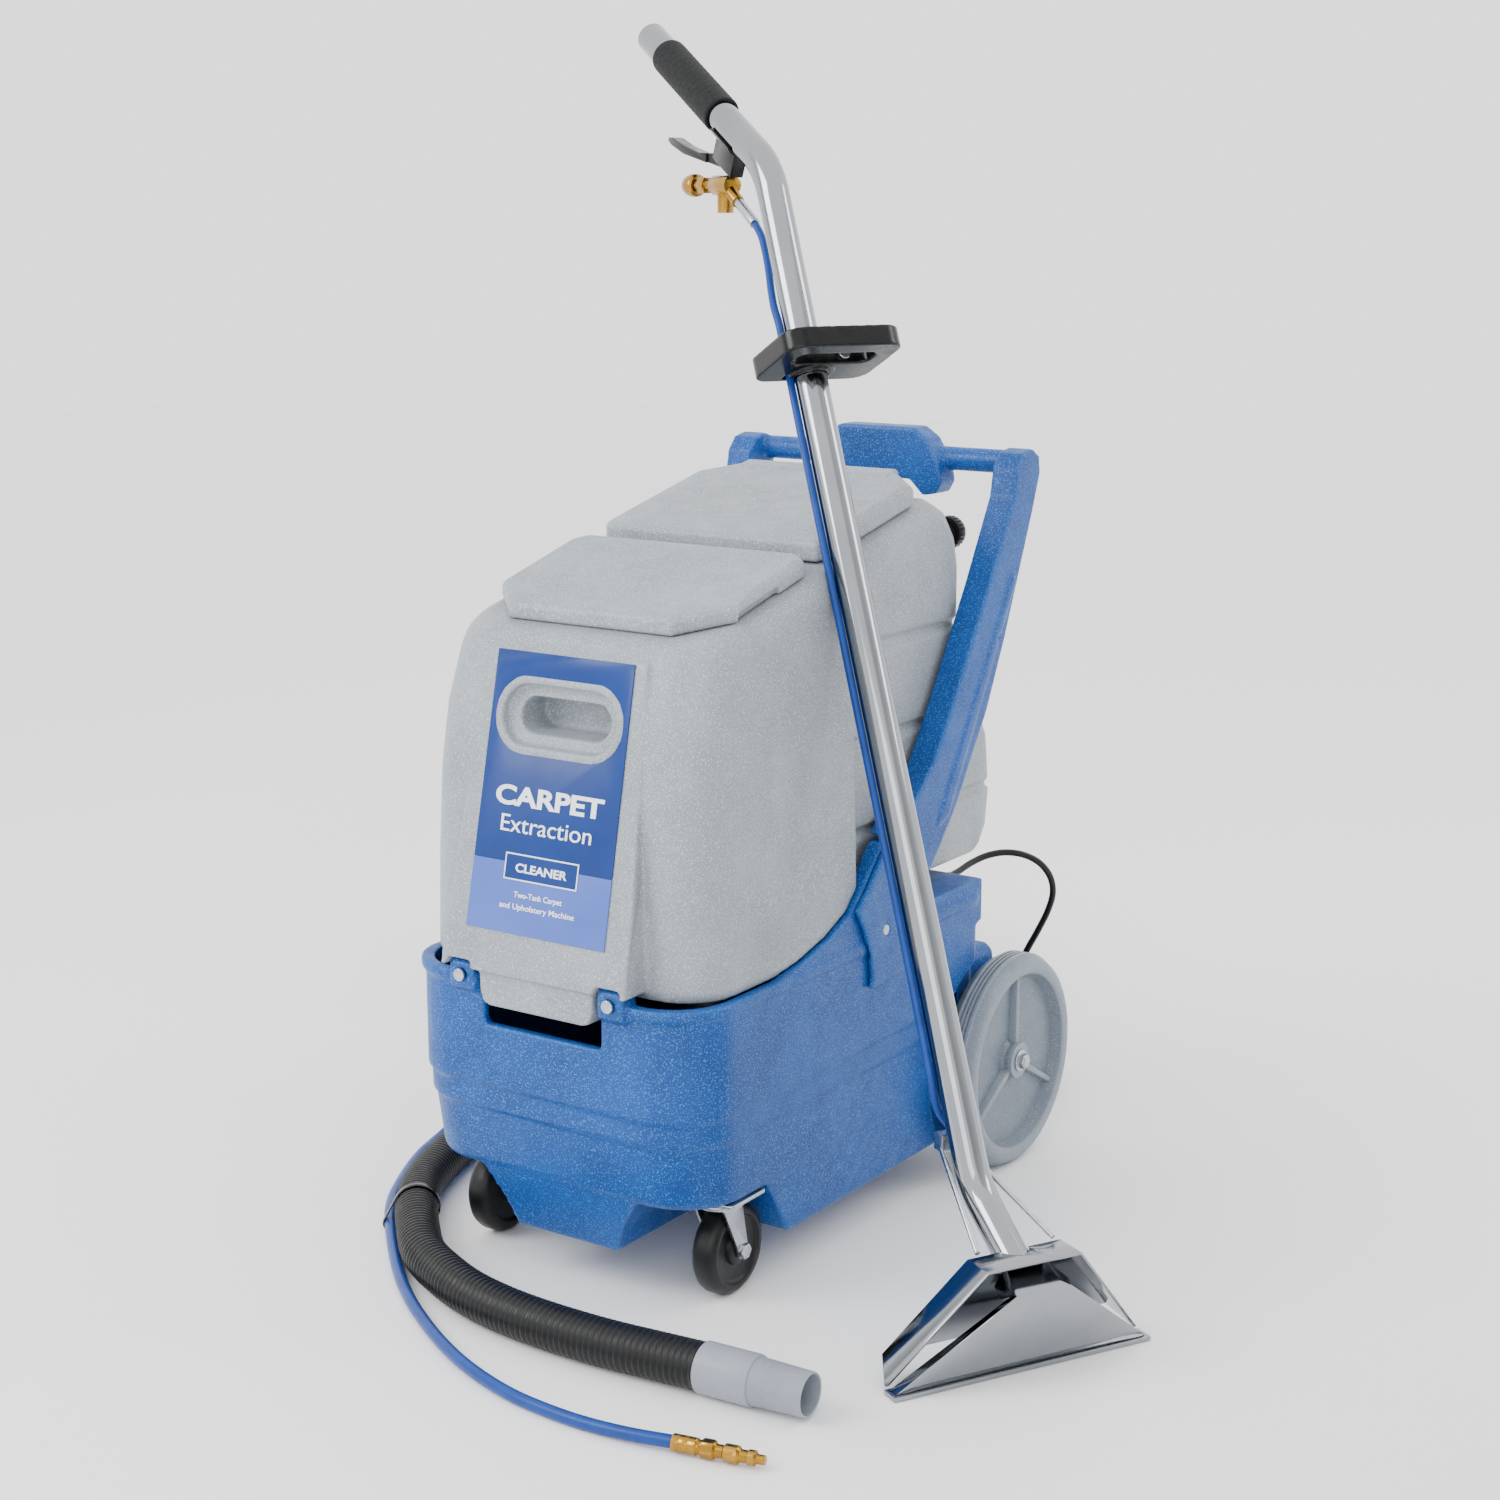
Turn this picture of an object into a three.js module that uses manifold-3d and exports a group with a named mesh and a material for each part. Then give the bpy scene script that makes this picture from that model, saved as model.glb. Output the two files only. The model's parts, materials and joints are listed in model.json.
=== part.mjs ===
// Box-extraction carpet cleaner: a two-tank machine on a moulded base, with its
// floor wand leaning on it and its vacuum and solution hoses laid out in front.
// Millimetres, +Z up. Inside the machine group x = 0 is the machine's mid-plane,
// the front faces -Y and z = 0 is the floor. The whole group is then moved so that
// its own centre (cords left out) stands over the origin.
import * as THREE from 'three';
import { mergeVertices } from 'three/addons/utils/BufferGeometryUtils.js';
import Module from 'manifold-3d';

// ---------------------------------------------------------------- dimensions
const GAP = 0.4;                 // clearance between pieces that touch

const WHEEL_R = 127;             // 10 inch rear wheels
const WHEEL_W = 42;
const WHEEL_FACE_X = 232;
const AXLE_Y = 261.5;
const AXLE_R = 8;

const CASTER_R = 50;
const CASTER_W = 30;
const CASTER_X = 150.8;
const CASTER_TRAIL = 14;
const CASTER_AXLE_Y = -233.4;
const CASTER_CEILING = 118;      // underside of the base above a caster

const BASE_HALF = 192;
const BASE_FRONT = -350;
const BASE_REAR = 230;
const BASE_BOTTOM = 51;
const RIM_Z = 337;
const WALL = 7;
const TANK_WALL = 6;

const TANK_HALF = 186;
const TANK_SEAM_Y = -31;         // where the front and rear tanks meet
const TANK_SLOPE = 0.25;         // rise of the front tank's top
const REAR_HALF = 160;
const REAR_SLOPE = 0.22;
const GROOVES = [[650, 238], [547, 288], [446, 322]];   // height, and the back face there

const PANEL_LEAN = 0.2137;       // rearward lean of the front panel per unit of height
const LABEL_TOP = 671.7;
const LABEL_BOTTOM = 391.1;
const LABEL_SPLIT = 462;
const LABEL_HALF = 89.1;
const RECESS_Z = 609;

const VENT = { x: 130, z: 748 };

const ARM_IN = 167;
const ARM_OUT = 200;
const BAR_Y = 322;
const BAR_Z = 824;
const BAR_R = 14;
const ROCKERS = [['vacuum', -26], ['pump', 26]];   // the two switches and their x
const FOOT_SCREW = [2, 345];     // (y, z) of the screw in each foot of the handle

const WAND_AT = [489.4, -218.4];
const WAND_TURN = 151.4;         // degrees: the way the wand leans, seen from above
const TUBE_R = 17.4;
const TUBE_WALL = 1.6;
const LIP_HALF = 149;

const VAC_EXIT = { x: -150, y: 262, z: 290 };
const SOL_EXIT = { x: -75, y: 247, z: 300 };
const LEAD_EXIT = { x: 130, y: 262, z: 337 };
const LEAD_R = 4;
const VAC_R = 24;
const SOL_R = 6.5;

// ------------------------------------------------------------------- colours
const finish = (color, roughness, metalness = 0) =>
  new THREE.MeshStandardMaterial({ color, roughness, metalness });
const BLUE_PE = finish(0x336fb2, 0.55);
const GREY_PE = finish(0xb4bdc4, 0.55);
const LABEL_DARK = finish(0x0b4b9c, 0.3);
const LABEL_LIGHT = finish(0x7190d6, 0.3);
const WHEEL_GREY = finish(0x8c98a6, 0.45);
const CUFF_GREY = finish(0xa5aab4, 0.4);
const BLACK_PLASTIC = finish(0x14181c, 0.4);
const BLACK_RUBBER = finish(0x15171a, 0.7);
const BLACK_FOAM = finish(0x1a1c1f, 0.9);
const STEEL = finish(0xc8ccd0, 0.2, 1);
const ZINC = finish(0xbfc6cc, 0.35, 1);
const BRASS = finish(0xaf873c, 0.3, 1);
const HOSE_BLUE = finish(0x195faf, 0.4);
const MOTOR_METAL = finish(0x8f949a, 0.5, 1);

// ------------------------------------------------------------- solid helpers
const wasm = await Module();
wasm.setup();

function toManifold(geometry) {
  let bare = geometry.clone();
  for (const name of ['normal', 'uv']) {
    bare.deleteAttribute(name);
  }
  bare = mergeVertices(bare, 1e-4);
  const corners = [];
  for (let i = 0; i < bare.index.count; i += 3) {
    const [a, b, c] = bare.index.array.slice(i, i + 3);
    if (a !== b && b !== c && c !== a) {
      corners.push(a, b, c);
    }
  }
  return new wasm.Manifold(new wasm.Mesh({
    numProp: 3,
    vertProperties: Float32Array.from(bare.attributes.position.array),
    triVerts: Uint32Array.from(corners),
  }));
}

function toGeometry(manifold) {
  const mesh = manifold.getMesh();
  const geometry = new THREE.BufferGeometry();
  geometry.setAttribute('position', new THREE.BufferAttribute(mesh.vertProperties, 3));
  geometry.setIndex(new THREE.BufferAttribute(mesh.triVerts, 1));
  return geometry;
}

const join = (first, ...others) =>
  toGeometry(others.reduce((sum, g) => sum.add(toManifold(g)), toManifold(first)));
const cut = (body, ...tools) =>
  toGeometry(tools.reduce((rest, g) => rest.subtract(toManifold(g)), toManifold(body)));
const keep = (body, region) => toGeometry(toManifold(body).intersect(toManifold(region)));

// -------------------------------------------------------------- shape helpers
function roundRect(x0, x1, y0, y1, rLow, rHigh = rLow) {
  const shape = new THREE.Shape();
  shape.moveTo(x0 + rLow, y0);
  shape.lineTo(x1 - rLow, y0);
  shape.absarc(x1 - rLow, y0 + rLow, rLow, -Math.PI / 2, 0, false);
  shape.lineTo(x1, y1 - rHigh);
  shape.absarc(x1 - rHigh, y1 - rHigh, rHigh, 0, Math.PI / 2, false);
  shape.lineTo(x0 + rHigh, y1);
  shape.absarc(x0 + rHigh, y1 - rHigh, rHigh, Math.PI / 2, Math.PI, false);
  shape.lineTo(x0, y0 + rLow);
  shape.absarc(x0 + rLow, y0 + rLow, rLow, Math.PI, Math.PI * 1.5, false);
  return shape;
}

const polygon = (points) => new THREE.Shape(points.map(([x, y]) => new THREE.Vector2(x, y)));

function circle(x, y, r) {
  const shape = new THREE.Shape();
  shape.absarc(x, y, r, 0, Math.PI * 2, false);
  return shape;
}

const prism = (shape, depth, curveSegments) =>
  new THREE.ExtrudeGeometry(shape, { depth, bevelEnabled: false, curveSegments });

// shape in the XY plane, from z0 to z1
const alongZ = (shape, z0, z1, seg = 4) => prism(shape, z1 - z0, seg).translate(0, 0, z0);

// shape drawn as (y, z), from x0 to x1
const alongX = (shape, x0, x1, seg = 4) =>
  prism(shape, x1 - x0, seg).rotateX(Math.PI / 2).rotateZ(Math.PI / 2).translate(x0, 0, 0);

// shape drawn as (x, z), from y0 to y1
const alongY = (shape, y0, y1, seg = 4) =>
  prism(shape, y1 - y0, seg).rotateX(Math.PI / 2).translate(0, y1, 0);

const box = (x0, x1, y0, y1, z0, z1) => new THREE.BoxGeometry(x1 - x0, y1 - y0, z1 - z0)
  .translate((x0 + x1) / 2, (y0 + y1) / 2, (z0 + z1) / 2);

// a prism whose cross-section changes from level to level: each level is a function
// that gives the place of the outline's point (x, y) on that level
function stack(shape, levels, curveSegments = 5) {
  const steps = levels.length - 1;
  const geometry = new THREE.ExtrudeGeometry(shape, {
    depth: steps, steps, bevelEnabled: false, curveSegments,
  });
  const at = geometry.attributes.position;
  for (let i = 0; i < at.count; i++) {
    const level = levels[Math.round(at.getZ(i))];
    at.setXYZ(i, ...level(at.getX(i), at.getY(i)));
  }
  return geometry;
}

// profile points [radius, height] turned about +Z, the solid on the profile's left
// whichever way round it is listed
function turned(profile, segments = 20) {
  const area = profile.reduce((sum, [r, h], i) => {
    const [r2, h2] = profile[(i + 1) % profile.length];
    return sum + r * h2 - r2 * h;
  }, 0);
  const points = area > 0 ? profile : [...profile].reverse();
  return new THREE.LatheGeometry(points.map(([r, h]) => new THREE.Vector2(r, h)), segments)
    .rotateX(Math.PI / 2);
}

const rod = (r, z0, z1, segments = 16) => turned([[0, z0], [r, z0], [r, z1], [0, z1]], segments);
const pipe = (rIn, rOut, z0, z1, segments = 20) =>
  turned([[rIn, z0], [rOut, z0], [rOut, z1], [rIn, z1], [rIn, z0]], segments);

// a straight round bar between two points
function bar(from, to, r, segments = 12) {
  const a = new THREE.Vector3(...from);
  const b = new THREE.Vector3(...to);
  const turn = new THREE.Quaternion().setFromUnitVectors(
    new THREE.Vector3(0, 0, 1), b.clone().sub(a).normalize());
  return rod(r, 0, a.distanceTo(b), segments)
    .applyQuaternion(turn).translate(a.x, a.y, a.z);
}

// a curve through given stations, stepped at exactly those stations
class StationCurve extends THREE.Curve {
  constructor(points) {
    super();
    this.points = points;
  }

  getPoint(t, target = new THREE.Vector3()) {
    const f = t * (this.points.length - 1);
    const i = Math.min(Math.floor(f), this.points.length - 2);
    return target.lerpVectors(this.points[i], this.points[i + 1], f - i);
  }

  getPointAt(u, target) {
    return this.getPoint(u, target);
  }

  getTangentAt(u, target = new THREE.Vector3()) {
    const last = this.points.length - 1;
    const i = Math.round(u * last);
    const before = this.points[Math.max(i - 1, 0)];
    const here = this.points[i];
    const after = this.points[Math.min(i + 1, last)];
    const into = here.clone().sub(before).normalize();
    const out = after.clone().sub(here).normalize();
    return target.copy(into.add(out)).normalize();
  }
}

// corner points joined by straight runs and arcs of one radius
function bentLine(corners, radius, arcSteps = 6) {
  const p = corners.map((c) => new THREE.Vector3(...c));
  const stations = [p[0]];
  for (let i = 1; i < p.length - 1; i++) {
    const back = p[i - 1].clone().sub(p[i]).normalize();
    const on = p[i + 1].clone().sub(p[i]).normalize();
    const half = back.angleTo(on) / 2;
    const reach = radius / Math.tan(half);
    const centre = back.clone().add(on).normalize()
      .multiplyScalar(radius / Math.sin(half)).add(p[i]);
    const start = p[i].clone().addScaledVector(back, reach).sub(centre);
    const end = p[i].clone().addScaledVector(on, reach).sub(centre);
    const sweep = start.angleTo(end);
    const axis = start.clone().cross(end).normalize();
    for (let k = 0; k <= arcSteps; k++) {
      stations.push(start.clone().applyAxisAngle(axis, sweep * k / arcSteps).add(centre));
    }
  }
  stations.push(p[p.length - 1]);
  return new StationCurve(stations);
}

const sweep = (shape, path, curveSegments = 5) => new THREE.ExtrudeGeometry(shape, {
  steps: path.points.length - 1, bevelEnabled: false, extrudePath: path, curveSegments,
});

function ringShape(rOut, rIn) {
  const shape = circle(0, 0, rOut);
  shape.holes.push(circle(0, 0, rIn));
  return shape;
}

// a cord's plain tube through its route
function cordTube(route, r, steps, sides) {
  const path = new THREE.CatmullRomCurve3(route.map((p) => new THREE.Vector3(...p)), false,
    'centripetal');
  const shape = new THREE.Shape();
  for (let i = 0; i < sides; i++) {
    const a = (i + 0.5) * 2 * Math.PI / sides;
    const [x, y] = [r * Math.cos(a), r * Math.sin(a)];
    if (i === 0) {
      shape.moveTo(x, y);
    } else {
      shape.lineTo(x, y);
    }
  }
  return new THREE.ExtrudeGeometry(shape, { steps, bevelEnabled: false, extrudePath: path });
}

const machine = new THREE.Group();

function add(name, geometry, material, parent = machine) {
  const mesh = new THREE.Mesh(geometry, material);
  mesh.name = name;
  parent.add(mesh);
  return mesh;
}

// a range of x on the left (side -1) or on the right (side 1)
const span = (side, near, far) => (side < 0 ? [-far, -near] : [near, far]);
const SIDES = [[-1, 'left'], [1, 'right']];

// ------------------------------------------------------------- base housing
// lower edge of the tanks along the side: level at the front, then up to the arms
const SWOOP = [[-200, 337.5], [-150, 345], [-100, 358], [-58, 376], [-36, 397], [4, 440]];
const FOOT_SEAM = [[-58, 378], [-40, 352], [-27, 318], [-24, 296], [-30, 284]];

const baseLevel = (half, front, z) => (x, y) => [
  x * half / BASE_HALF,
  BASE_REAR + (y - BASE_REAR) * (BASE_REAR - front) / (BASE_REAR - BASE_FRONT),
  z,
];

function baseHousing() {
  const plan = roundRect(-BASE_HALF, BASE_HALF, BASE_FRONT, BASE_REAR, 70, 20);
  let body = stack(plan, [
    baseLevel(185, -312, BASE_BOTTOM),
    baseLevel(186, -329, 122),
    baseLevel(187, -331, 125),
    baseLevel(188, -341, 186),
    baseLevel(190, -345, 190),
    baseLevel(190, -346, 214),
    baseLevel(192, -350, 218),
    baseLevel(192, -350, 322),
    baseLevel(195, -354, 327),
    baseLevel(195, -354, RIM_Z),
  ]);
  body = join(body, alongY(roundRect(-176, 176, 70, 256, 24, 16), 150, 290));
  body = join(body, box(-192, 192, 60, BASE_REAR, 300, 352));
  const wing = polygon([[-205, 320], ...SWOOP, [40, 440], [60, 330]]);
  body = join(body, alongX(wing, 172, 192), alongX(wing, -192, -172));
  // a scored line where the belt sweeps up to the arm's foot
  const scored = [[-200, 214], [-150, 226], [-112, 256], [-70, 300], [-40, 334]];
  const score = polygon([...scored, ...scored.map(([y, z]) => [y + 2.5, z - 2.5]).reverse()]);
  // inside: a tub that narrows downwards, with a lower floor behind the casters and a
  // closed shelf under the rear tank
  const tub = (half, front, z) => (x, y) => [
    x * half / 179, 208 + (y - 208) * (208 - front) / (208 + 336), z];
  const inside = roundRect(-179, 179, -336, 208, 58, 16);
  body = cut(body,
    stack(inside, [tub(176, -321, CASTER_CEILING + WALL), tub(179, -334, 218), tub(181, -341, 344)]),
    box(-181, 181, -300, 59.9, 340, 380),
    box(-174, 174, -150, 206, BASE_BOTTOM + WALL, 200),
    alongY(roundRect(-168, 168, 78, 248, 18, 12), 200, 283),
    alongX(score, 190.2, 200), alongX(score, -200, -190.2));
  // caster bays open to the sides, with the skirt's sloped edges left standing
  const baySide = polygon([[-420, 30], [-420, CASTER_CEILING], [-209, CASTER_CEILING],
    [-167, BASE_BOTTOM], [-158, 30]]);
  for (const [side] of SIDES) {
    const bayFront = polygon([[64 * side, 30], [66 * side, BASE_BOTTOM], [79 * side, 84],
      [101.5 * side, CASTER_CEILING], [130 * side, CASTER_CEILING], [130 * side, 30]]);
    body = cut(body, alongX(baySide, ...span(side, 101, 260)), alongY(bayFront, -420, -172),
      alongX(circle(AXLE_Y, WHEEL_R, 135), ...span(side, 178, 260), 14));
  }
  // tongue notch and the dark hollow under it
  body = cut(body, box(-76, 76, -380, -325, 284, 380));
  // lugs that carry the front tank's tongue
  for (const [side] of SIDES) {
    body = join(body, alongX(roundRect(-361, -334, 318, 354, 10, 12), ...span(side, 80, 112)));
    body = cut(body, rod(5.2, -20, 20).rotateX(Math.PI / 2).translate(96 * side, -361, 337));
  }
  // bores: rear axle, cable gland, hose elbow flange
  body = cut(body,
    rod(AXLE_R + 0.3, -250, 250).rotateY(Math.PI / 2).translate(0, AXLE_Y, WHEEL_R),
    rod(8.3, -30, 30).rotateX(Math.PI / 2).translate(LEAD_EXIT.x, BASE_REAR, LEAD_EXIT.z),
    rod(20, -30, 30).rotateX(Math.PI / 2).translate(VAC_EXIT.x, BASE_REAR, VAC_EXIT.z),
    rod(7.3, -30, 30).rotateX(Math.PI / 2).translate(SOL_EXIT.x, BASE_REAR, SOL_EXIT.z));
  // screw holes of the handle's feet
  return cut(body, rod(3.3, -220, 220).rotateY(Math.PI / 2).translate(0, ...FOOT_SCREW));
}
add('base_housing', baseHousing(), BLUE_PE);

// ---------------------------------------------------------------- front tank
const frontTop = (y) => 695 + TANK_SLOPE * (y + 260);
const panelY = (z) => -297.4 - (LABEL_TOP - z) * PANEL_LEAN;
const panelHalf = (z) => (z > 417
  ? 119 - 19 * (z - 417) / (675 - 417)
  : 119);

// the tank's outline at one level: its half width, its front and its height (a height
// that changes from front to rear is given as a function of y)
function tankPlan(half, front, height) {
  return (x, y) => {
    const k = (TANK_SEAM_Y - front) / (TANK_SEAM_Y + 327);
    const yy = TANK_SEAM_Y + (y - TANK_SEAM_Y) * k;
    const z = typeof height === 'function' ? height(yy) : height;
    return [x * half / TANK_HALF, yy, z];
  };
}

function frontTank() {
  const plan = roundRect(-TANK_HALF, TANK_HALF, -327, TANK_SEAM_Y, 60, 10);
  const shoulder = (drop) => (y) => frontTop(y) - drop;
  let body = stack(plan, [
    tankPlan(181, -322, 330),
    tankPlan(186, -327, 346),
    tankPlan(184, -325, 450),
    tankPlan(181, -321, 540),
    tankPlan(178, -309.5, 610),
    tankPlan(170, -294.5, shoulder(26)),
    tankPlan(165, -290, shoulder(12)),
    tankPlan(157, -282, shoulder(3)),
    tankPlan(148, -273, shoulder(0)),
  ], 5);
  // raised front panel that runs down into the tongue
  const panel = polygon([[-250, 346], [panelY(346), 346], [panelY(400), 400],
    [panelY(672), 672], [panelY(672) + 22, 684], [-250, 684]]);
  const raised = alongX(panel, -1, 1);
  const at = raised.attributes.position;
  for (let i = 0; i < at.count; i++) {
    at.setX(i, at.getX(i) * panelHalf(at.getZ(i)));
  }
  const tongue = alongY(polygon([[-74, 360], [-73, 325], [-68, 311], [-60, 309], [60, 309],
    [68, 311], [73, 325], [74, 360]]), -359.5, -330);
  body = join(body, keep(raised, box(-200, 200, -400, -290, 300, 700)), tongue);
  // below the swoop of the base
  const under = polygon([[-420, 300], [-420, RIM_Z + GAP], [-201, RIM_Z + 1.2],
    ...SWOOP.map(([y, z]) => [y - 0.5, z + 0.9]), [30, 470], [30, 300]]);
  body = cut(body,
    alongX(under, 76.5, 220), alongX(under, -220, -76.5),
    box(-80, 80, -325, 40, 300, RIM_Z + GAP));
  // grip pocket through the panel
  const pocketOut = roundRect(-80, 80, RECESS_Z - 38, RECESS_Z + 38, 37, 37);
  const ring = alongY(pocketOut, -330, -255, 5);
  const ringFace = polygon([[-240, 540], [panelY(540) - 3, 540], [panelY(680) - 3, 680],
    [-240, 680]]);
  body = join(body, keep(ring, alongX(ringFace, -90, 90)));
  // hollow inside
  const inner = stack(plan, [
    tankPlan(179, -318, 352),
    tankPlan(178, -317, 450),
    tankPlan(175, -313, 540),
    tankPlan(172, -301.5, 610),
    tankPlan(164, -286, shoulder(30)),
    tankPlan(152, -276, shoulder(9)),
    tankPlan(142, -266, shoulder(6)),
  ], 5);
  const hollow = cut(
    keep(inner, box(-190, 190, -330, TANK_SEAM_Y - TANK_WALL, 300, 900)),
    alongY(roundRect(-86, 86, RECESS_Z - 44, RECESS_Z + 44, 42, 42), -360, -249, 4),
    alongX(polygon([[-420, 300], [-420, 344], [-201, 346],
      ...SWOOP.map(([y, z]) => [y - 7, z + 9]), [30, 470], [30, 300]]), -220, 220));
  body = cut(body, hollow);
  // the pocket itself: shallow dish, then a deeper slot for the fingers
  const dish = alongX(polygon([[-400, 540], [panelY(540) + 9, 540], [panelY(680) + 9, 680],
    [-400, 680]]), -90, 90);
  body = cut(body,
    keep(alongY(roundRect(-72, 72, RECESS_Z - 31, RECESS_Z + 31, 30, 30), -380, -262), dish),
    alongY(roundRect(-57, 57, RECESS_Z - 20, RECESS_Z + 17, 18, 18), -380, -262, 4));
  // notches over the base's two lugs
  body = cut(body, box(79.6, 112.4, -380, -333.6, 300, 354.4),
    box(-112.4, -79.6, -380, -333.6, 300, 354.4));
  // filling mouth under the lid, and the step the rear lid's front edge lies over
  return cut(body, alongZ(roundRect(-118, 118, -245, -100, 30, 30), 640, 800),
    alongX(polygon([[-51, 744.2], [-20, 751.2], [-20, 800], [-51, 800]]), -200, 200));
}
add('front_tank', frontTank(), GREY_PE);

// ----------------------------------------------------------------- rear tank
const rearTop = (y) => 747 + REAR_SLOPE * (y + 48);

const ramp = (v, v0, v1) => Math.min(Math.max((v - v0) / (v1 - v0), 0), 1);

function rearTank() {
  const s = TANK_SEAM_Y + GAP;
  const side = polygon([
    [s, 369.5], [286, 369.5], [302, 378], [316, 398], [322, 440], [313, 505], [288, 548],
    [240, 640], [238, 655], [238, 720], [230, 752], [206, 782], [176, rearTop(176) - 2],
    [150, rearTop(150)], [s, rearTop(s)],
  ]);
  // the edges draw in towards each side face
  const level = (x, d) => (y, z) =>
    [x, y - d * ramp(y, 60, 200), z - 0.6 * d * ramp(z, 500, 740)];
  const half = [[REAR_HALF, 34], [REAR_HALF - 2, 22], [REAR_HALF - 9, 9], [REAR_HALF - 26, 0]];
  let tank = stack(side, [
    ...half.map(([x, d]) => level(-x, d)),
    ...half.reverse().map(([x, d]) => level(x, d)),
  ]);
  // hollow inside, open at the filling mouth
  const inside = polygon([[s + 8, 378], [270, 378], [282, 390], [292, 440], [284, 492],
    [262, 540], [214, 632], [212, 735], [196, 762], [146, rearTop(146) - 12],
    [s + 8, rearTop(s) - 12]]);
  tank = cut(tank, alongX(inside, -REAR_HALF + 9, REAR_HALF - 9),
    alongZ(roundRect(-100, 100, 0, 130, 30, 30), 700, 900));
  // the horizontal grooves that stiffen the sides and the back
  for (const [z, rear] of GROOVES) {
    tank = cut(tank, cut(box(-300, 300, -200, 400, z - 6, z + 6),
      alongZ(roundRect(-REAR_HALF + 5, REAR_HALF - 5, -210, rear - 6, 10, 26), z - 8, z + 8)));
  }
  return cut(tank, rod(12.6, -40, 60).rotateX(-Math.PI / 2).translate(VENT.x, 176, VENT.z));
}
add('rear_tank', rearTank(), GREY_PE);

add('vent_cap', join(
  rod(19, 0, 16).rotateX(-Math.PI / 2).translate(VENT.x, 238.6, VENT.z),
  rod(12, -14, 2).rotateX(-Math.PI / 2).translate(VENT.x, 238.6, VENT.z),
), BLACK_RUBBER);

// --------------------------------------------------------------------- lids
// flat plate in plan, then tilted by shearing z with y
function lidPlate(points, thickness, slope, y0, z0) {
  const plan = polygon(points);
  const draw = (inset, dz) => (x, y) => {
    const cy = (points[0][1] + points[4][1]) / 2;
    return [x - Math.sign(x) * inset, y - Math.sign(y - cy) * inset,
      z0 + slope * (y - y0) + dz];
  };
  return stack(plan, [draw(2, 0), draw(0, 3), draw(0, thickness - 6), draw(2.5, thickness - 1.8),
    draw(7, thickness)], 4);
}

function frontLid() {
  const points = [[-104, -262], [104, -262], [152, -214], [152, -92], [140, -78], [-140, -78],
    [-152, -92], [-152, -214]];
  let lid = lidPlate(points, 20, TANK_SLOPE, -260, 696);
  // thin side lips between the corners, so that the rear ears hang lower
  const lip = polygon([[-212, 640], [-212, 716], [-138, 735], [-138, 640]]);
  lid = cut(lid, alongX(lip, 145, 170), alongX(lip, -170, -145));
  return lid;
}
const frontLidMesh = add('front_lid', frontLid(), GREY_PE);
frontLidMesh.position.z = GAP;

function rearLid() {
  const points = [[-137, -48], [137, -48], [145, -40], [145, 140], [108, 175], [-108, 175],
    [-145, 140], [-145, -40]];
  const lid = lidPlate(points, 24, REAR_SLOPE, -48, 747.5);
  const hump = alongX(polygon([[150, 806], [156, 819.5], [176, 824.5], [183, 821],
    [183, 808]]), -100, 100);
  return join(lid, hump);
}
const rearLidMesh = add('rear_lid', rearLid(), GREY_PE);
rearLidMesh.position.z = GAP;

// ------------------------------------------------------------- front label
function labelBand(z0, z1) {
  const strip = polygon([[panelY(z0) - 1.6, z0], [panelY(z1) - 1.6, z1],
    [panelY(z1) - 0.4, z1], [panelY(z0) - 0.4, z0]]);
  const half = LABEL_HALF;
  const band = alongX(strip, -half, half);
  const at = band.attributes.position;
  for (let i = 0; i < at.count; i++) {
    const t = (LABEL_TOP - at.getZ(i)) / (LABEL_TOP - LABEL_BOTTOM);
    at.setX(i, at.getX(i) * (0.975 + 0.025 * t));
  }
  return cut(band, alongY(roundRect(-80.6, 80.6, RECESS_Z - 38.6, RECESS_Z + 38.6, 37.6, 37.6),
    -400, -250, 6));
}
add('label_upper', labelBand(LABEL_SPLIT + 0.2, LABEL_TOP), LABEL_DARK);
add('label_lower', labelBand(LABEL_BOTTOM, LABEL_SPLIT - 0.2), LABEL_LIGHT);

// -------------------------------------------------------------- handle frame
function handleArm(side) {
  const outline = polygon([
    [272, 790], [278, 822], [292, 838], [314, 842], [332, 832], [334, 812], [318, 770],
    [258, 632], [218, 552], [150, 452], [100, 396], [60, 376], [60, 290],
    [-28, 284], [-24, 296], [-27, 318], [-40, 352], [-57, 379],
    [-36, 397], [4, 440], [60, 478], [100, 514], [140, 572], [178, 632], [218, 696],
  ].reverse());
  let arm = alongX(outline, ...span(side, ARM_IN, ARM_OUT));
  // below the tanks' edge the foot is a plate over the base's side
  arm = cut(arm, alongX(polygon([[-220, 250], [130, 250], [130, 368.6], [64, 368.6],
    [64, 445], [-220, 445]]), ...span(side, 150, 192.5)),
    alongX(roundRect(-220, 130, 319, RIM_Z + GAP, 0, 0), ...span(side, 150, 195.4)));
  // raised rib down the outside
  arm = join(arm, alongX(polygon([[106, 440], [130, 448], [278, 696], [270, 700]]),
    ...span(side, ARM_OUT - 2, ARM_OUT + 2)));
  return cut(arm,
    rod(3.6, -30, 30).rotateY(Math.PI / 2).translate(side * 200, ...FOOT_SCREW),
    rod(6.6, -4, 4).rotateY(Math.PI / 2).translate(side * 200, ...FOOT_SCREW),
    rod(3.2, -5, 5).rotateY(Math.PI / 2).translate(side * 202, 240, 634));
}

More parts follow.
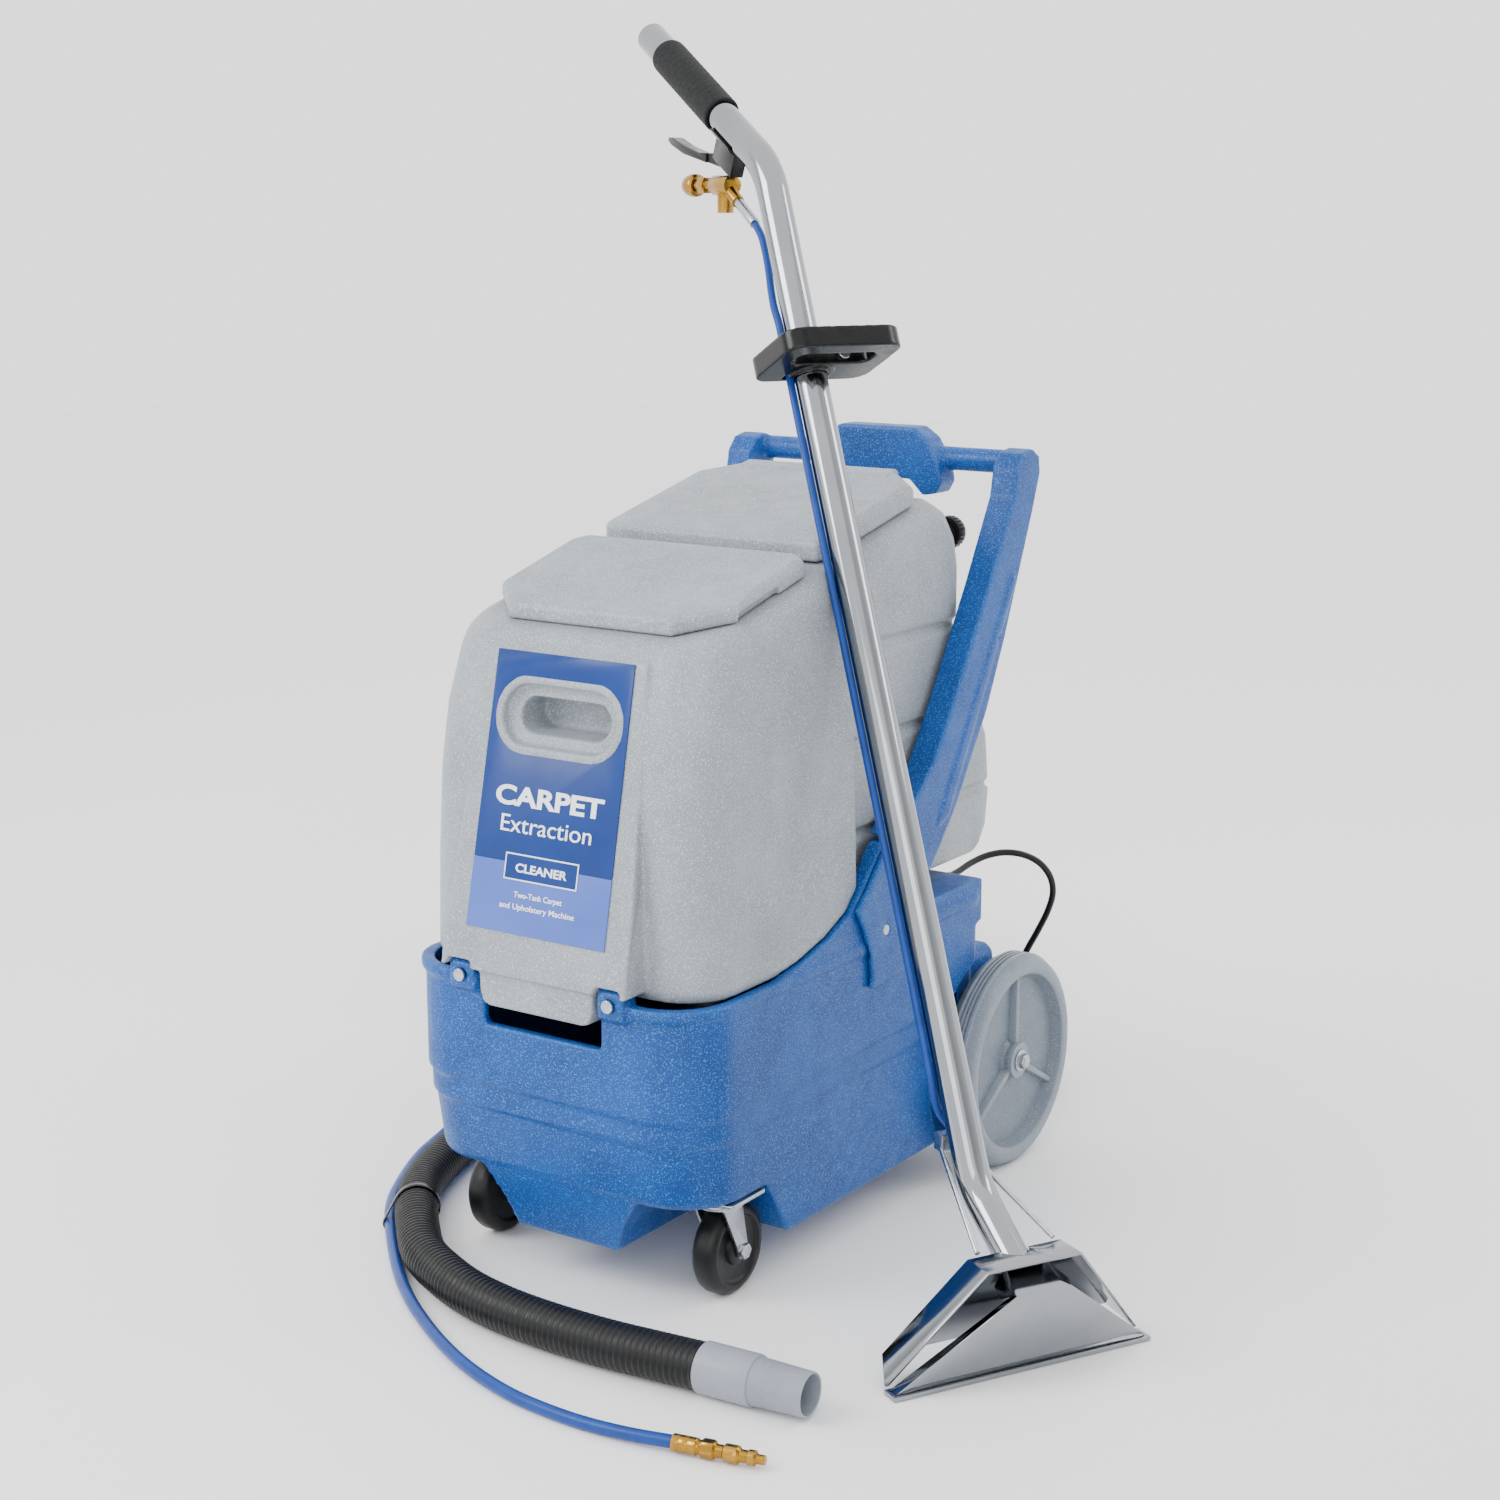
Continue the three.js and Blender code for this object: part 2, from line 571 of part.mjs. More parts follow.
function handleFrame() {
  const face = polygon([[-50, 860], [50, 860], [68, 848], [84, 822], [90, 798], [82, 784],
    [64, 781], [46, 799], [-46, 799], [-64, 781], [-82, 784], [-90, 798], [-84, 822],
    [-68, 848]].reverse());
  const frame = join(handleArm(-1), handleArm(1),
    rod(BAR_R, -175, 175).rotateY(Math.PI / 2).translate(0, BAR_Y, BAR_Z),
    alongY(face, 296, 332));
  // pocket for the switch plate in the block's rear face, deeper behind each rocker
  return cut(frame, box(-58, 58, 326, 340, 806, 852),
    ...ROCKERS.map(([, x]) => box(x - 9.4, x + 9.4, 320, 340, 815, 843)));
}
add('handle_frame', handleFrame(), BLUE_PE);

for (const [side, tag] of SIDES) {
  const screw = join(rod(6, 0, 3), rod(3, -14, 1)).rotateY(side * Math.PI / 2)
    .translate(side * 196.4, ...FOOT_SCREW);
  add(`handle_screw_${tag}`, screw, ZINC);
}

// ------------------------------------------------------ switches on the handle
function switchPlate() {
  let plate = box(-57.6, 57.6, 326.6, 331, 806.4, 851.6);
  for (const [, x] of ROCKERS) {
    plate = cut(plate, box(x - 9.4, x + 9.4, 320, 340, 815, 843));
  }
  return plate;
}
add('switch_plate', switchPlate(), BLACK_PLASTIC);
ROCKERS.forEach(([name, x]) => {
  const rocker = alongX(polygon([[326.8, 817], [331.5, 816.4], [334.6, 816.6], [332.6, 829],
    [334.6, 841.4], [331.5, 841.6], [326.8, 841]]), x - 8.6, x + 8.6);
  add(`rocker_${name}`, rocker, BLACK_PLASTIC);
});

// --------------------------------------------------------- lug screws (tongue)
for (const [side, tag] of SIDES) {
  add(`lug_screw_${tag}`, join(rod(7, 0, 4, 16), rod(4.8, -18, 1, 16)).rotateX(Math.PI / 2)
    .translate(96 * side, -361.4, 337), ZINC);
}

// --------------------------------------------------------------- rear wheels
function rearWheel() {
  const w = WHEEL_W;
  const profile = [
    [AXLE_R + 0.3, 1], [20, 1], [22, 10], [97, 12], [103, 1], [119, 0], [WHEEL_R, 10],
    [WHEEL_R, w - 10], [119, w], [106, w], [98, w - 14], [24, w - 16], [21, w - 3],
    [AXLE_R + 0.3, w - 3], [AXLE_R + 0.3, 1],
  ];
  const ribs = [0, 1, 2].map((i) => box(20, 100, -3.2, 3.2, w - 20, w - 7)
    .rotateZ(Math.PI / 2 + i * Math.PI * 2 / 3));
  return join(turned(profile, 32), ...ribs).translate(0, 0, -w);
}
const wheelShape = rearWheel();
for (const [side, tag] of SIDES) {
  const wheel = add(`wheel_${tag}`, wheelShape, WHEEL_GREY);
  wheel.rotation.y = side * Math.PI / 2;
  wheel.position.set(side * WHEEL_FACE_X, AXLE_Y, WHEEL_R);
}
// one axle through both wheels, with a washer and a nut at each end
const washer = rod(13, WHEEL_FACE_X - 2.6, WHEEL_FACE_X - 0.6, 20);
const nut = turned([[0, 0], [9.5, 0], [9.5, 6.4], [7, 8.4], [0, 8.4]], 6)
  .translate(0, 0, WHEEL_FACE_X - 1);
const axleEnd = join(washer, nut);
add('rear_axle', join(rod(AXLE_R, -WHEEL_FACE_X, WHEEL_FACE_X), axleEnd,
  axleEnd.clone().rotateX(Math.PI)).rotateY(Math.PI / 2).translate(0, AXLE_Y, WHEEL_R), ZINC);

// -------------------------------------------------------------- front casters
function casterFork() {
  const crown = rod(26, 103.4, 107.4, 20);
  const leg = polygon([[-22, 107.4], [12, 107.4], [CASTER_TRAIL + 9, 52], [CASTER_TRAIL + 5, 42],
    [CASTER_TRAIL - 5, 42], [CASTER_TRAIL - 10, 56]]);
  const axle = join(rod(5, -22, 22, 16), rod(8.5, 19.6, 25, 6), rod(8.5, -25, -19.6, 6))
    .rotateY(Math.PI / 2).translate(0, CASTER_TRAIL, CASTER_R);
  const fork = join(crown, box(-20, 20, -20, 10, 103.4, 107.4), alongX(leg, 17, 20),
    alongX(leg, -20, -17), axle);
  return cut(fork, rod(4.4, 90, 120));
}

function casterPlate() {
  const plate = alongZ(roundRect(-38, 38, -32, 32, 6, 6), 113.6, CASTER_CEILING - GAP);
  return join(plate, rod(22, 108, 114, 20), rod(4, 104.4, 109, 12));
}

function casterWheel() {
  const h = CASTER_W / 2;
  const rimSide = [[5.4, h], [14, h], [17, h - 5], [36, h - 5], [44, h - 1], [CASTER_R, h - 9]];
  const profile = [...rimSide.map(([r, z]) => [r, -z]), ...rimSide.reverse(), [5.4, -h]];
  return turned(profile, 24).rotateY(Math.PI / 2);
}

const forkShape = casterFork();
const plateShape = casterPlate();
const casterWheelShape = casterWheel();
for (const [side, tag] of SIDES) {
  const caster = new THREE.Group();
  caster.position.set(side * CASTER_X, CASTER_AXLE_Y - CASTER_TRAIL, 0);
  add(`caster_plate_${tag}`, plateShape, ZINC, caster);
  add(`caster_fork_${tag}`, forkShape, ZINC, caster);
  const wheel = add(`caster_wheel_${tag}`, casterWheelShape, BLACK_RUBBER, caster);
  wheel.position.set(0, CASTER_TRAIL, CASTER_R);
  machine.add(caster);
}

// ------------------------------------------------------------------ innards
add('vacuum_motor', join(rod(72, 62, 150, 28), rod(58, 150, 222, 28)).translate(-60, 60, 0),
  MOTOR_METAL);
add('pump_motor', join(box(40, 120, 0, 130, 60, 140), rod(32, 0, 70, 20).rotateX(Math.PI / 2)
  .translate(80, 0, 100)), MOTOR_METAL);

// ---------------------------------------------------- vacuum and solution outlets
add('hose_port', join(
  pipe(17, 19.6, -24, 22), pipe(17, 33.4, GAP, 6), pipe(17, 24, 4, 31.6),
).rotateX(-Math.PI / 2).translate(VAC_EXIT.x, BASE_REAR, VAC_EXIT.z), BLACK_PLASTIC);

add('solution_outlet', join(
  rod(7, -13, 2, 16), rod(11, GAP, 10, 6), rod(8, 9, 16.6, 16),
).rotateX(-Math.PI / 2).translate(SOL_EXIT.x, BASE_REAR, SOL_EXIT.z), BRASS);

add('lead_gland', join(
  rod(8, -12, 1, 16), rod(12, GAP, 7, 16), turned([[0, 6], [9, 6], [5.4, 31.6], [0, 31.6]], 16),
).rotateX(-Math.PI / 2).translate(LEAD_EXIT.x, BASE_REAR, LEAD_EXIT.z), BLACK_PLASTIC);

// ------------------------------------------------------------------ free cords
// a coil is a closed ring: centre, middle radius, half width and height
const ring = ({ x, y, r, band, h }) => turned([
  [r - band, 0.2], [r + band, 0.2], [r + band, h], [r - band, h], [r - band, 0.2],
], 28).translate(x, y, 0);

// points of a level arc that climbs or falls evenly
function arc({ x, y, r }, fromDeg, toDeg, z0, z1, count) {
  return Array.from({ length: count }, (_, i) => {
    const t = i / (count - 1);
    const a = (fromDeg + (toDeg - fromDeg) * t) * Math.PI / 180;
    return [x + r * Math.cos(a), y + r * Math.sin(a), z0 + (z1 - z0) * t];
  });
}

const LEAD_COIL = { x: 80, y: 485, r: 56, band: 16, h: 40 };
const LEAD_ROUTE = [
  [130, 262, 337], [130, 285, 338.5], [133, 308, 343.5], [142, 329, 349], [157, 347, 351.5],
  [174, 362, 348], [188, 377, 337], [196, 391, 318], [196, 400, 296], [188, 405, 272],
  [174, 408, 244], [157, 410, 213], [142, 411, 180], [129, 411, 145], [118, 411, 110],
  [110, 410, 76], [103, 408.5, 46], [94, 406.5, 22], [83, 406.2, 8.5], [69, 408.3, 4.6],
  [53, 413.3, 4.3], [39, 420.2, 4.3], [26, 430, 4.3],
];
add('mains_lead', cordTube(LEAD_ROUTE, LEAD_R, 36, 8), BLACK_RUBBER);
add('mains_lead_coil', ring(LEAD_COIL), BLACK_RUBBER);
add('mains_plug', join(box(-22, 26, -14, 14, 0.3, 24), box(-34, -21, -6, 6, 6, 18))
  .translate(LEAD_COIL.x, LEAD_COIL.y + LEAD_COIL.r, LEAD_COIL.h), BLACK_PLASTIC);

const VAC_COIL = { x: -424, y: 600, r: 240, band: VAC_R, h: 144 };
const VAC_DROP = [
  [-150, 262, 290], [-150, 290, 290], [-150.5, 320, 289], [-152, 352, 285.5], [-155, 386, 279],
  [-159, 420, 270], [-164, 454, 259], [-169, 488, 246], [-174, 520, 233], [-179, 550, 221],
  [-182.5, 577, 210.5],
];
const VAC_TURN = arc(VAC_COIL, 1, 221, 201, 169, 20);
const VAC_ROUTE = [
  [-489, 309, 24.3], [-452, 267, 24.3], [-417, 225, 24.3], [-386, 184, 24.3], [-362, 140, 24.3],
  [-347, 92, 24.3], [-341, 40, 24.3], [-337, -14, 24.3], [-328, -72, 24.3], [-313, -128, 24.3],
  [-293, -184, 24.5], [-266, -240, 25.5], [-229, -291, 26.6], [-184, -340, 25.5],
  [-138, -382, 24.5], [-86, -410, 24.3], [-32, -431, 24.3], [28, -443, 24.3], [92, -447, 24.3],
  [155, -446, 24.5], [212, -441.5, 25.2], [262, -437, 25.8],
];
add('vacuum_hose_drop', cordTube([...VAC_DROP, ...VAC_TURN], VAC_R, 24, 10), BLACK_RUBBER);
add('vacuum_hose_coil', ring(VAC_COIL), BLACK_RUBBER);
add('vacuum_hose', cordTube(VAC_ROUTE, VAC_R, 20, 10), BLACK_RUBBER);

const CUFF_TURN = Math.atan2(8, 119);
add('wand_cuff', join(
  pipe(20, 25.6, 1.6, 62), pipe(20, 23.4, 60, 66),
  turned([[20, 64], [23.2, 64], [21.8, 119], [19.6, 119], [20, 64]]),
).rotateY(Math.PI / 2).rotateZ(CUFF_TURN).translate(262, -437, 25.8), CUFF_GREY);

const SOL_COIL = { x: -86, y: 478, r: 70, band: 19.5, h: 52 };
const SOL_DROP = [
  [-75, 247, 300], [-75, 268, 299.5], [-76, 290, 297], [-79, 312, 290], [-84, 334, 277],
  [-92, 355, 258], [-102, 373, 233], [-113, 389, 203], [-124, 404, 170], [-134, 418, 137],
  [-142, 432, 106], [-149, 447, 81], [-153.5, 462, 65], [-155.8, 474, 59.5],
];
const SOL_TURN = arc(SOL_COIL, 176, 90, 59, 58.8, 7);
const SOL_ROUTE = [
  [-137, 394, 6.7], [-160, 390, 6.7], [-188, 382, 6.7], [-216, 366, 6.7], [-240, 342, 6.7],
  [-260, 312, 7.5], [-277, 278, 14], [-293, 242, 26], [-308, 205, 41], [-322, 167, 53],
  [-335, 128, 58.5], [-347, 89, 60], [-359, 49, 55.5], [-370, 8, 42], [-379, -32, 24],
  [-381, -72, 9], [-367, -124, 6.7], [-345, -173, 6.7], [-323, -214, 6.7], [-300, -252, 7.3],
  [-267, -294, 8.8], [-229, -334, 8.2], [-185, -377, 6.7], [-144, -414, 6.7],
  [-98, -450, 6.7], [-53, -480, 6.7], [-7, -507, 6.7], [38, -529, 6.7], [84, -546, 6.7],
  [127, -557, 6.7], [172, -562, 6.7], [216, -563, 7], [264, -559, 8.2], [309, -551, 9.8],
];
add('solution_hose_drop', cordTube([...SOL_DROP, ...SOL_TURN], SOL_R, 16, 8), HOSE_BLUE);
add('solution_hose_coil', ring(SOL_COIL), HOSE_BLUE);
add('solution_hose', cordTube(SOL_ROUTE, SOL_R, 46, 8), HOSE_BLUE);

const NIPPLE_TURN = Math.atan2(9, 45);
add('solution_nipple', turned([
  [0, GAP], [8.2, GAP], [8.2, 25], [7, 26], [7, 29], [9.4, 30], [9.4, 42], [6.4, 44], [6.4, 51],
  [8.6, 52], [8.6, 66], [6, 68], [6, 75], [7.4, 76], [7.4, 82], [4.6, 84], [4.6, 92], [0, 92],
], 10).rotateY(Math.PI / 2).rotateZ(NIPPLE_TURN).translate(309, -551, 9.8), BRASS);

// tie: one band round both hoses
function beltShape(x1, y1, r1, x2, y2, r2) {
  const along = Math.atan2(y2 - y1, x2 - x1);
  const open = Math.acos((r1 - r2) / Math.hypot(x2 - x1, y2 - y1));
  const shape = new THREE.Shape();
  shape.absarc(x2, y2, r2, along - open, along + open, false);
  shape.absarc(x1, y1, r1, along + open, along - open + 2 * Math.PI, false);
  return shape;
}
function hoseTie() {
  const reach = 29.5;
  const outer = beltShape(0, 26.6, 26.2, -reach, 9, 8.7);
  const inner = beltShape(0, 26.6, 24.8, -reach, 9, 7.3);
  outer.holes.push(inner);
  return alongY(outer, -4, 4, 8).rotateZ(Math.atan2(0.677, 0.737));
}
add('hose_tie', hoseTie(), BLACK_PLASTIC).position.set(-229, -291, 0);

// ------------------------------------------------------------------- the wand
// In the wand group x runs the way the wand leans and y across it.
const wand = new THREE.Group();
wand.position.set(...WAND_AT, 0);
wand.rotation.z = THREE.MathUtils.degToRad(WAND_TURN);
machine.add(wand);

const TUBE_LINE = [[2.6, 0, 97.8], [87, 0, 156.7], [536, 0, 1155], [825, 0, 1303]];
const LOW_TILT = Math.atan2(84.4, 58.9);      // lean of each run from the vertical
const MAIN_TILT = Math.atan2(449, 998.3);
const TOP_TILT = Math.atan2(289, 148);
const path = bentLine(TUBE_LINE, 90, 6);
add('wand_tube', sweep(ringShape(TUBE_R, TUBE_R - TUBE_WALL), path, 6), STEEL, wand);

// frames that sit on the tube: z along it, x behind and below it
const onMain = new THREE.Group();
onMain.position.set(444.7, 0, 952);
onMain.rotation.y = MAIN_TILT;
const onTop = new THREE.Group();
onTop.position.set(536, 0, 1155);
onTop.rotation.y = TOP_TILT;
wand.add(onMain, onTop);

add('grip_sleeve', turned([[TUBE_R + GAP, 122], [20, 122], [21, 125], [21, 271], [20, 274],
  [TUBE_R + GAP, 274], [TUBE_R + GAP, 122]]), BLACK_FOAM, onTop);

function midHandle() {
  const outline = roundRect(-80, 24, -76, 60, 20, 20);
  outline.holes.push(roundRect(-56, -27, -54, 38, 10, 10));
  const body = join(alongZ(outline, -11, 11), rod(24.5, -15, 15));
  return cut(body, rod(TUBE_R + GAP + 0.4, -40, 40), box(4, 17, 11, 26, -40, 40),
    rod(3.4, -60, -10).rotateY(Math.PI / 2).translate(0, -28.5, 0));
}
add('mid_handle', midHandle(), BLACK_PLASTIC, onMain);
add('mid_handle_bolt', join(rod(3, 0, 14, 12), rod(7, -4, 0.2, 12)).rotateY(Math.PI / 2)
  .translate(-27.6, -28.5, 0), ZINC, onMain);

// valve, trigger and quick coupler under the upper bend
const VALVE_Z = 1136;
const alongU = (geometry) => geometry.rotateY(Math.PI / 2);
function valveBody(grow = 0) {
  return join(
    alongU(rod(11 + grow, 620, 660, 16)).translate(0, 0, VALVE_Z),
    alongU(rod(6.5 + grow, 655, 700, 12)).translate(0, 0, VALVE_Z),
    alongU(rod(10 + grow, 680, 698, 6)).translate(0, 0, VALVE_Z),
    rod(9 + grow, 1106, VALVE_Z, 14).translate(637, 0, 0),
    bar([628, 0, 1131], [606, 0, 1118], 7.4 + grow, 12),
    alongU(rod(6.5 + grow, 697, 720.6, 12)).translate(0, 0, VALVE_Z),
  );
}
add('valve_body', valveBody(), BRASS, wand);
add('coupler_sleeve', alongU(turned([[6.9, 705], [10, 705], [12.6, 708], [13, 716], [11.5, 725],
  [7, 731], [0, 732], [0, 726], [6.9, 726], [6.9, 705]], 20)).translate(0, 0, VALVE_Z), BRASS,
wand);

const PIVOT = [646, 1163];
function valveBracket() {
  let bracket = join(keep(pipe(TUBE_R + GAP, 20.6, 62, 110, 24), box(9, 40, -30, 30, 50, 120)),
    box(18.6, 44, -8, 8, 62, 110))
    .rotateY(TOP_TILT).translate(536, 0, 1155);
  bracket = cut(bracket, valveBody(GAP),
    box(612, 700, -4.5, 4.5, 1140, 1200).translate(12, 0, 0));
  return join(bracket, rod(2.6, -7, 7, 12).rotateX(Math.PI / 2)
    .translate(PIVOT[0], 0, PIVOT[1]));
}
add('valve_bracket', valveBracket(), BLACK_PLASTIC, wand);
function triggerLever() {
  const side = polygon([[639, 1159], [645, 1156], [690, 1164], [730, 1171], [760, 1181],
    [769, 1186], [768, 1190], [757, 1189], [728, 1180], [690, 1172], [650, 1170], [640, 1167]]);
  const wide = join(alongY(side, -4, 4), keep(alongY(side, -7, 7), box(672, 780, -9, 9, 1100,
    1250)));
  return cut(wide, rod(2.9, -20, 20, 12).rotateX(Math.PI / 2)
    .translate(PIVOT[0], 0, PIVOT[1]));
}
add('trigger_lever', triggerLever(), BLACK_PLASTIC, wand);

add('hose_swage', bar([605.2, 0, 1117.6], [566, 0, 1095], 6, 12), ZINC, wand);
const WAND_HOSE = [
  [565.4, 0, 1094.6], [552, 0, 1083], [538, 2, 1066], [520, 7, 1044], [503, 13, 1024],
  [488, 17.5, 1008], [473.4, 19.4, 991.5], [459.4, 19.5, 960.7], [428.6, 20.5, 895.7],
  [359.4, 21, 745.7], [291.9, 21, 595.7], [224.4, 21, 445.7], [157.4, 21, 295.7],
  [140.5, 20.6, 253.7], [138.5, 18, 236], [138, 12, 220], [137, 4, 209], [136, 0.5, 204],
  [136, 0, 199.4],
].map((p) => new THREE.Vector3(...p));
add('wand_hose', sweep(circle(0, 0, 4.2), new StationCurve(WAND_HOSE), 2), HOSE_BLUE, wand);
const jetRod = (side) => bar([134, -12 * side, 184], [12, -44 * side, 122.6], 2.8, 10);
add('spray_tee', join(box(128, 144, -14, 14, 180.6, 198), jetRod(-1), jetRod(1)),
  BLACK_PLASTIC, wand);

// floor head: bent hood, suction shoe inside it, glide lip at the floor
const HOOD_TOP = 118;
const hoodShift = (z) => -24 + (HOOD_TOP - z) * 0.3;
function headHood() {
  const outer = [[-147, 7], [-54, HOOD_TOP], [54, HOOD_TOP], [147, 7]];
  const strip = polygon([...outer, [143.4, 7], [52.8, HOOD_TOP - 2.6], [-52.8, HOOD_TOP - 2.6],
    [-143.4, 7]].reverse());
  const back = polygon([...outer].reverse());
  let hood = join(alongX(strip, 0, 38), alongX(back, 35.6, 38));
  const at = hood.attributes.position;
  for (let i = 0; i < at.count; i++) {
    at.setX(i, at.getX(i) + hoodShift(at.getZ(i)));
  }
  // lower edge rises towards the back; the tube passes through the back
  hood = cut(hood, alongY(polygon([[-60, -10], [100, -10], [100, 64], [62, 36], [12, 6.9],
    [-60, 6.9]]), -200, 200), bar([-10, 0, 89], [86, 0, 156], TUBE_R + 1.4, 24));
  return hood;
}
add('head_hood', headHood(), STEEL, wand);

function headShoe() {
  const section = roundRect(-1, 1, -1, 1, 0.2, 0.2);
  // centre (x, z), half length across the wand, half thickness, tilt of the section
  const at = (x, z, half, thick, tilt) => (a, b) => [
    x - b * thick * Math.cos(tilt), a * half, z + b * thick * Math.sin(tilt),
  ];
  const levels = (wall) => [
    at(-1.2, wall ? 4 : 5.5, 145 - wall, 7.6 - wall, 0),
    at(-33, 93, 31 - wall, 8 - wall, 0.42),
    at(-16, 88, 29 - wall, 14 - wall, 0.85),
    at(wall ? 3.6 : 2.2, wall ? 98.5 : 97.5, 25 - wall, 17.2 - wall, LOW_TILT),
  ];
  return cut(stack(section, levels(0), 2), stack(section, levels(2), 2));
}
add('head_shoe', headShoe(), STEEL, wand);

function headLip() {
  let lip = box(-12, 9, -LIP_HALF, LIP_HALF, 0.2, 5);
  for (const y of [-97, 0, 97]) {
    lip = cut(lip, box(-5.5, 3, y - 44, y + 44, -2, 8));
  }
  return lip;
}
add('head_lip', headLip(), STEEL, wand);

// ------------------------------------------------------ stand over the origin
const CORDS = ['lead', 'mains', 'vacuum_hose', 'solution_hose', 'solution_nipple', 'wand_cuff',
  'hose_tie'];
machine.updateMatrixWorld(true);
const bounds = new THREE.Box3();
machine.traverse((node) => {
  if (node.isMesh && !CORDS.some((name) => node.name.startsWith(name))) {
    bounds.union(new THREE.Box3().setFromObject(node, true));
  }
});
const middle = bounds.getCenter(new THREE.Vector3());
machine.position.set(-middle.x, -middle.y, -bounds.min.z);

export default machine;
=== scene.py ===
"""Looks for a box-extraction carpet cleaner with its floor wand, hoses and mains lead.

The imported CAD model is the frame. Each CAD node is dressed, rebuilt finer or left with a
better finish, and rides on its own body. Lengths are millimetres in the machine's own
frame (x = 0 on the mid-plane, front towards -Y, z = 0 on the floor) until `Place` turns
them into metres in the frame that the CAD model uses.
"""

import json
import logging
import math
from dataclasses import dataclass
from enum import Enum
from typing import Callable, Iterable, Sequence

import bmesh
import bpy
from mathutils import Matrix, Quaternion, Vector

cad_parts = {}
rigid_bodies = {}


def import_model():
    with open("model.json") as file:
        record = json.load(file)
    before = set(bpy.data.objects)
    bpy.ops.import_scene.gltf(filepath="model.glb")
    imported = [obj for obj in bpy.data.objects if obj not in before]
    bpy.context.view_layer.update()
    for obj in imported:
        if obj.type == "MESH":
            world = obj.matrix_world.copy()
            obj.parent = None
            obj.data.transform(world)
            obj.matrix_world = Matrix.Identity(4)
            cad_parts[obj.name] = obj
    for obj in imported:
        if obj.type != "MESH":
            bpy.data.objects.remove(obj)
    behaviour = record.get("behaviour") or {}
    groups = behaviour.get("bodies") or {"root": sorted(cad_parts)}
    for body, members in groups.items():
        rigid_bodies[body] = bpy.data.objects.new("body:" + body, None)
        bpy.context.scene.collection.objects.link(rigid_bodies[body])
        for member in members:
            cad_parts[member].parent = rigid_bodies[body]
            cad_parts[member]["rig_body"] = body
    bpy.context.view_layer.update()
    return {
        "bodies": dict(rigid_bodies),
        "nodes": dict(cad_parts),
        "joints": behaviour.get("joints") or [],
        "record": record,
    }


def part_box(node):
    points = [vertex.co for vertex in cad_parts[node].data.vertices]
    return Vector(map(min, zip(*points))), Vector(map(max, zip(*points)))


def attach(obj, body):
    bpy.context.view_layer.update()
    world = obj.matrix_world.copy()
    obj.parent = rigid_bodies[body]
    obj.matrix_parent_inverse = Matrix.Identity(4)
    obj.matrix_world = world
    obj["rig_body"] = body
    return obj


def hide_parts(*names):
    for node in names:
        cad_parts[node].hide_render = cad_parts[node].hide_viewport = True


logging.basicConfig(level=logging.INFO, format="%(levelname)s %(message)s")
LOG = logging.getLogger("carpet_cleaner")

MM = 0.001
SKIN_LIMIT = 180_000        # triangles a skin may have before it is thinned
SKIN_AIM = 175_000          # triangles a thinned skin is brought down to
CREASE_DEGREES = 36         # edges sharper than this stay crisp on dressed parts
Point = tuple[float, float, float]
Profile = Sequence[tuple[float, float]]


# ----------------------------------------------------------------------------- places
class Place:
    """Turns the machine's millimetres into the frame's metres."""

    def __init__(self) -> None:
        """Finds the frames from the solids of the row."""
        low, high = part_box("rear_axle")
        middle = (Vector(low) + Vector(high)) / 2
        self.machine = Matrix.Translation((middle.x, middle.y - 0.2615, 0)) @ Matrix.Scale(MM, 4)
        self.wand = (self.machine @ Matrix.Translation((489.4, -218.4, 0))
                     @ Matrix.Rotation(math.radians(151.4), 4, "Z"))
        self.on_main = (self.wand @ Matrix.Translation((444.7, 0, 952))
                        @ Matrix.Rotation(math.atan2(449, 998.3), 4, "Y"))
        self.on_top = (self.wand @ Matrix.Translation((536, 0, 1155))
                       @ Matrix.Rotation(math.atan2(289, 148), 4, "Y"))

    def points(self, route: Iterable[Point]) -> list[Vector]:
        """Machine millimetres to frame metres.

        Args:
            route: points of a route in the machine's frame.

        Returns:
            The same points in the CAD model's frame.
        """
        return [self.machine @ Vector(p) for p in route]


def axis_frame(base: Matrix, at: Point, along: Point) -> Matrix:
    """A frame whose Z runs along a direction, for a turned piece.

    Args:
        base: the frame that the place and the direction are given in.
        at: where the new frame stands.
        along: the direction of its Z.

    Returns:
        The frame.
    """
    turn = Vector(along).to_track_quat("Z", "Y").to_matrix().to_4x4()
    return base @ Matrix.Translation(at) @ turn


# --------------------------------------------------------------------------- materials
class Kind(Enum):
    """What a finish is made of, which settles how its surface is built up."""

    MOULDED = "moulded"
    POLISHED = "polished"
    PLATED = "plated"
    RUBBER = "rubber"
    FOAM = "foam"
    FILM = "film"


def srgb(code: str) -> tuple[float, float, float, float]:
    """Linear colour of an sRGB hex code such as "#336FB2".

    Args:
        code: six hexadecimal digits after a #.

    Returns:
        Red, green, blue and alpha, linear.
    """
    parts = [int(code[i:i + 2], 16) / 255 for i in (1, 3, 5)]
    return (*[c / 12.92 if c <= 0.04045 else ((c + 0.055) / 1.055) ** 2.4 for c in parts], 1.0)


def add_node(tree: bpy.types.NodeTree, kind: str, settings: dict | None = None,
             links: dict | None = None) -> bpy.types.Node:
    """Adds one node.

    Args:
        tree: the node tree.
        kind: the node's type name.
        settings: input sockets by name or number, or plain attributes, and their values.
        links: input sockets by name or number, and the output socket each takes.

    Returns:
        The new node.
    """
    made = tree.nodes.new(kind)
    for key, value in (settings or {}).items():
        if isinstance(key, str) and key in made.bl_rna.properties:
            setattr(made, key, value)
        else:
            made.inputs[key].default_value = value
    for key, socket in (links or {}).items():
        tree.links.new(socket, made.inputs[key])
    return made


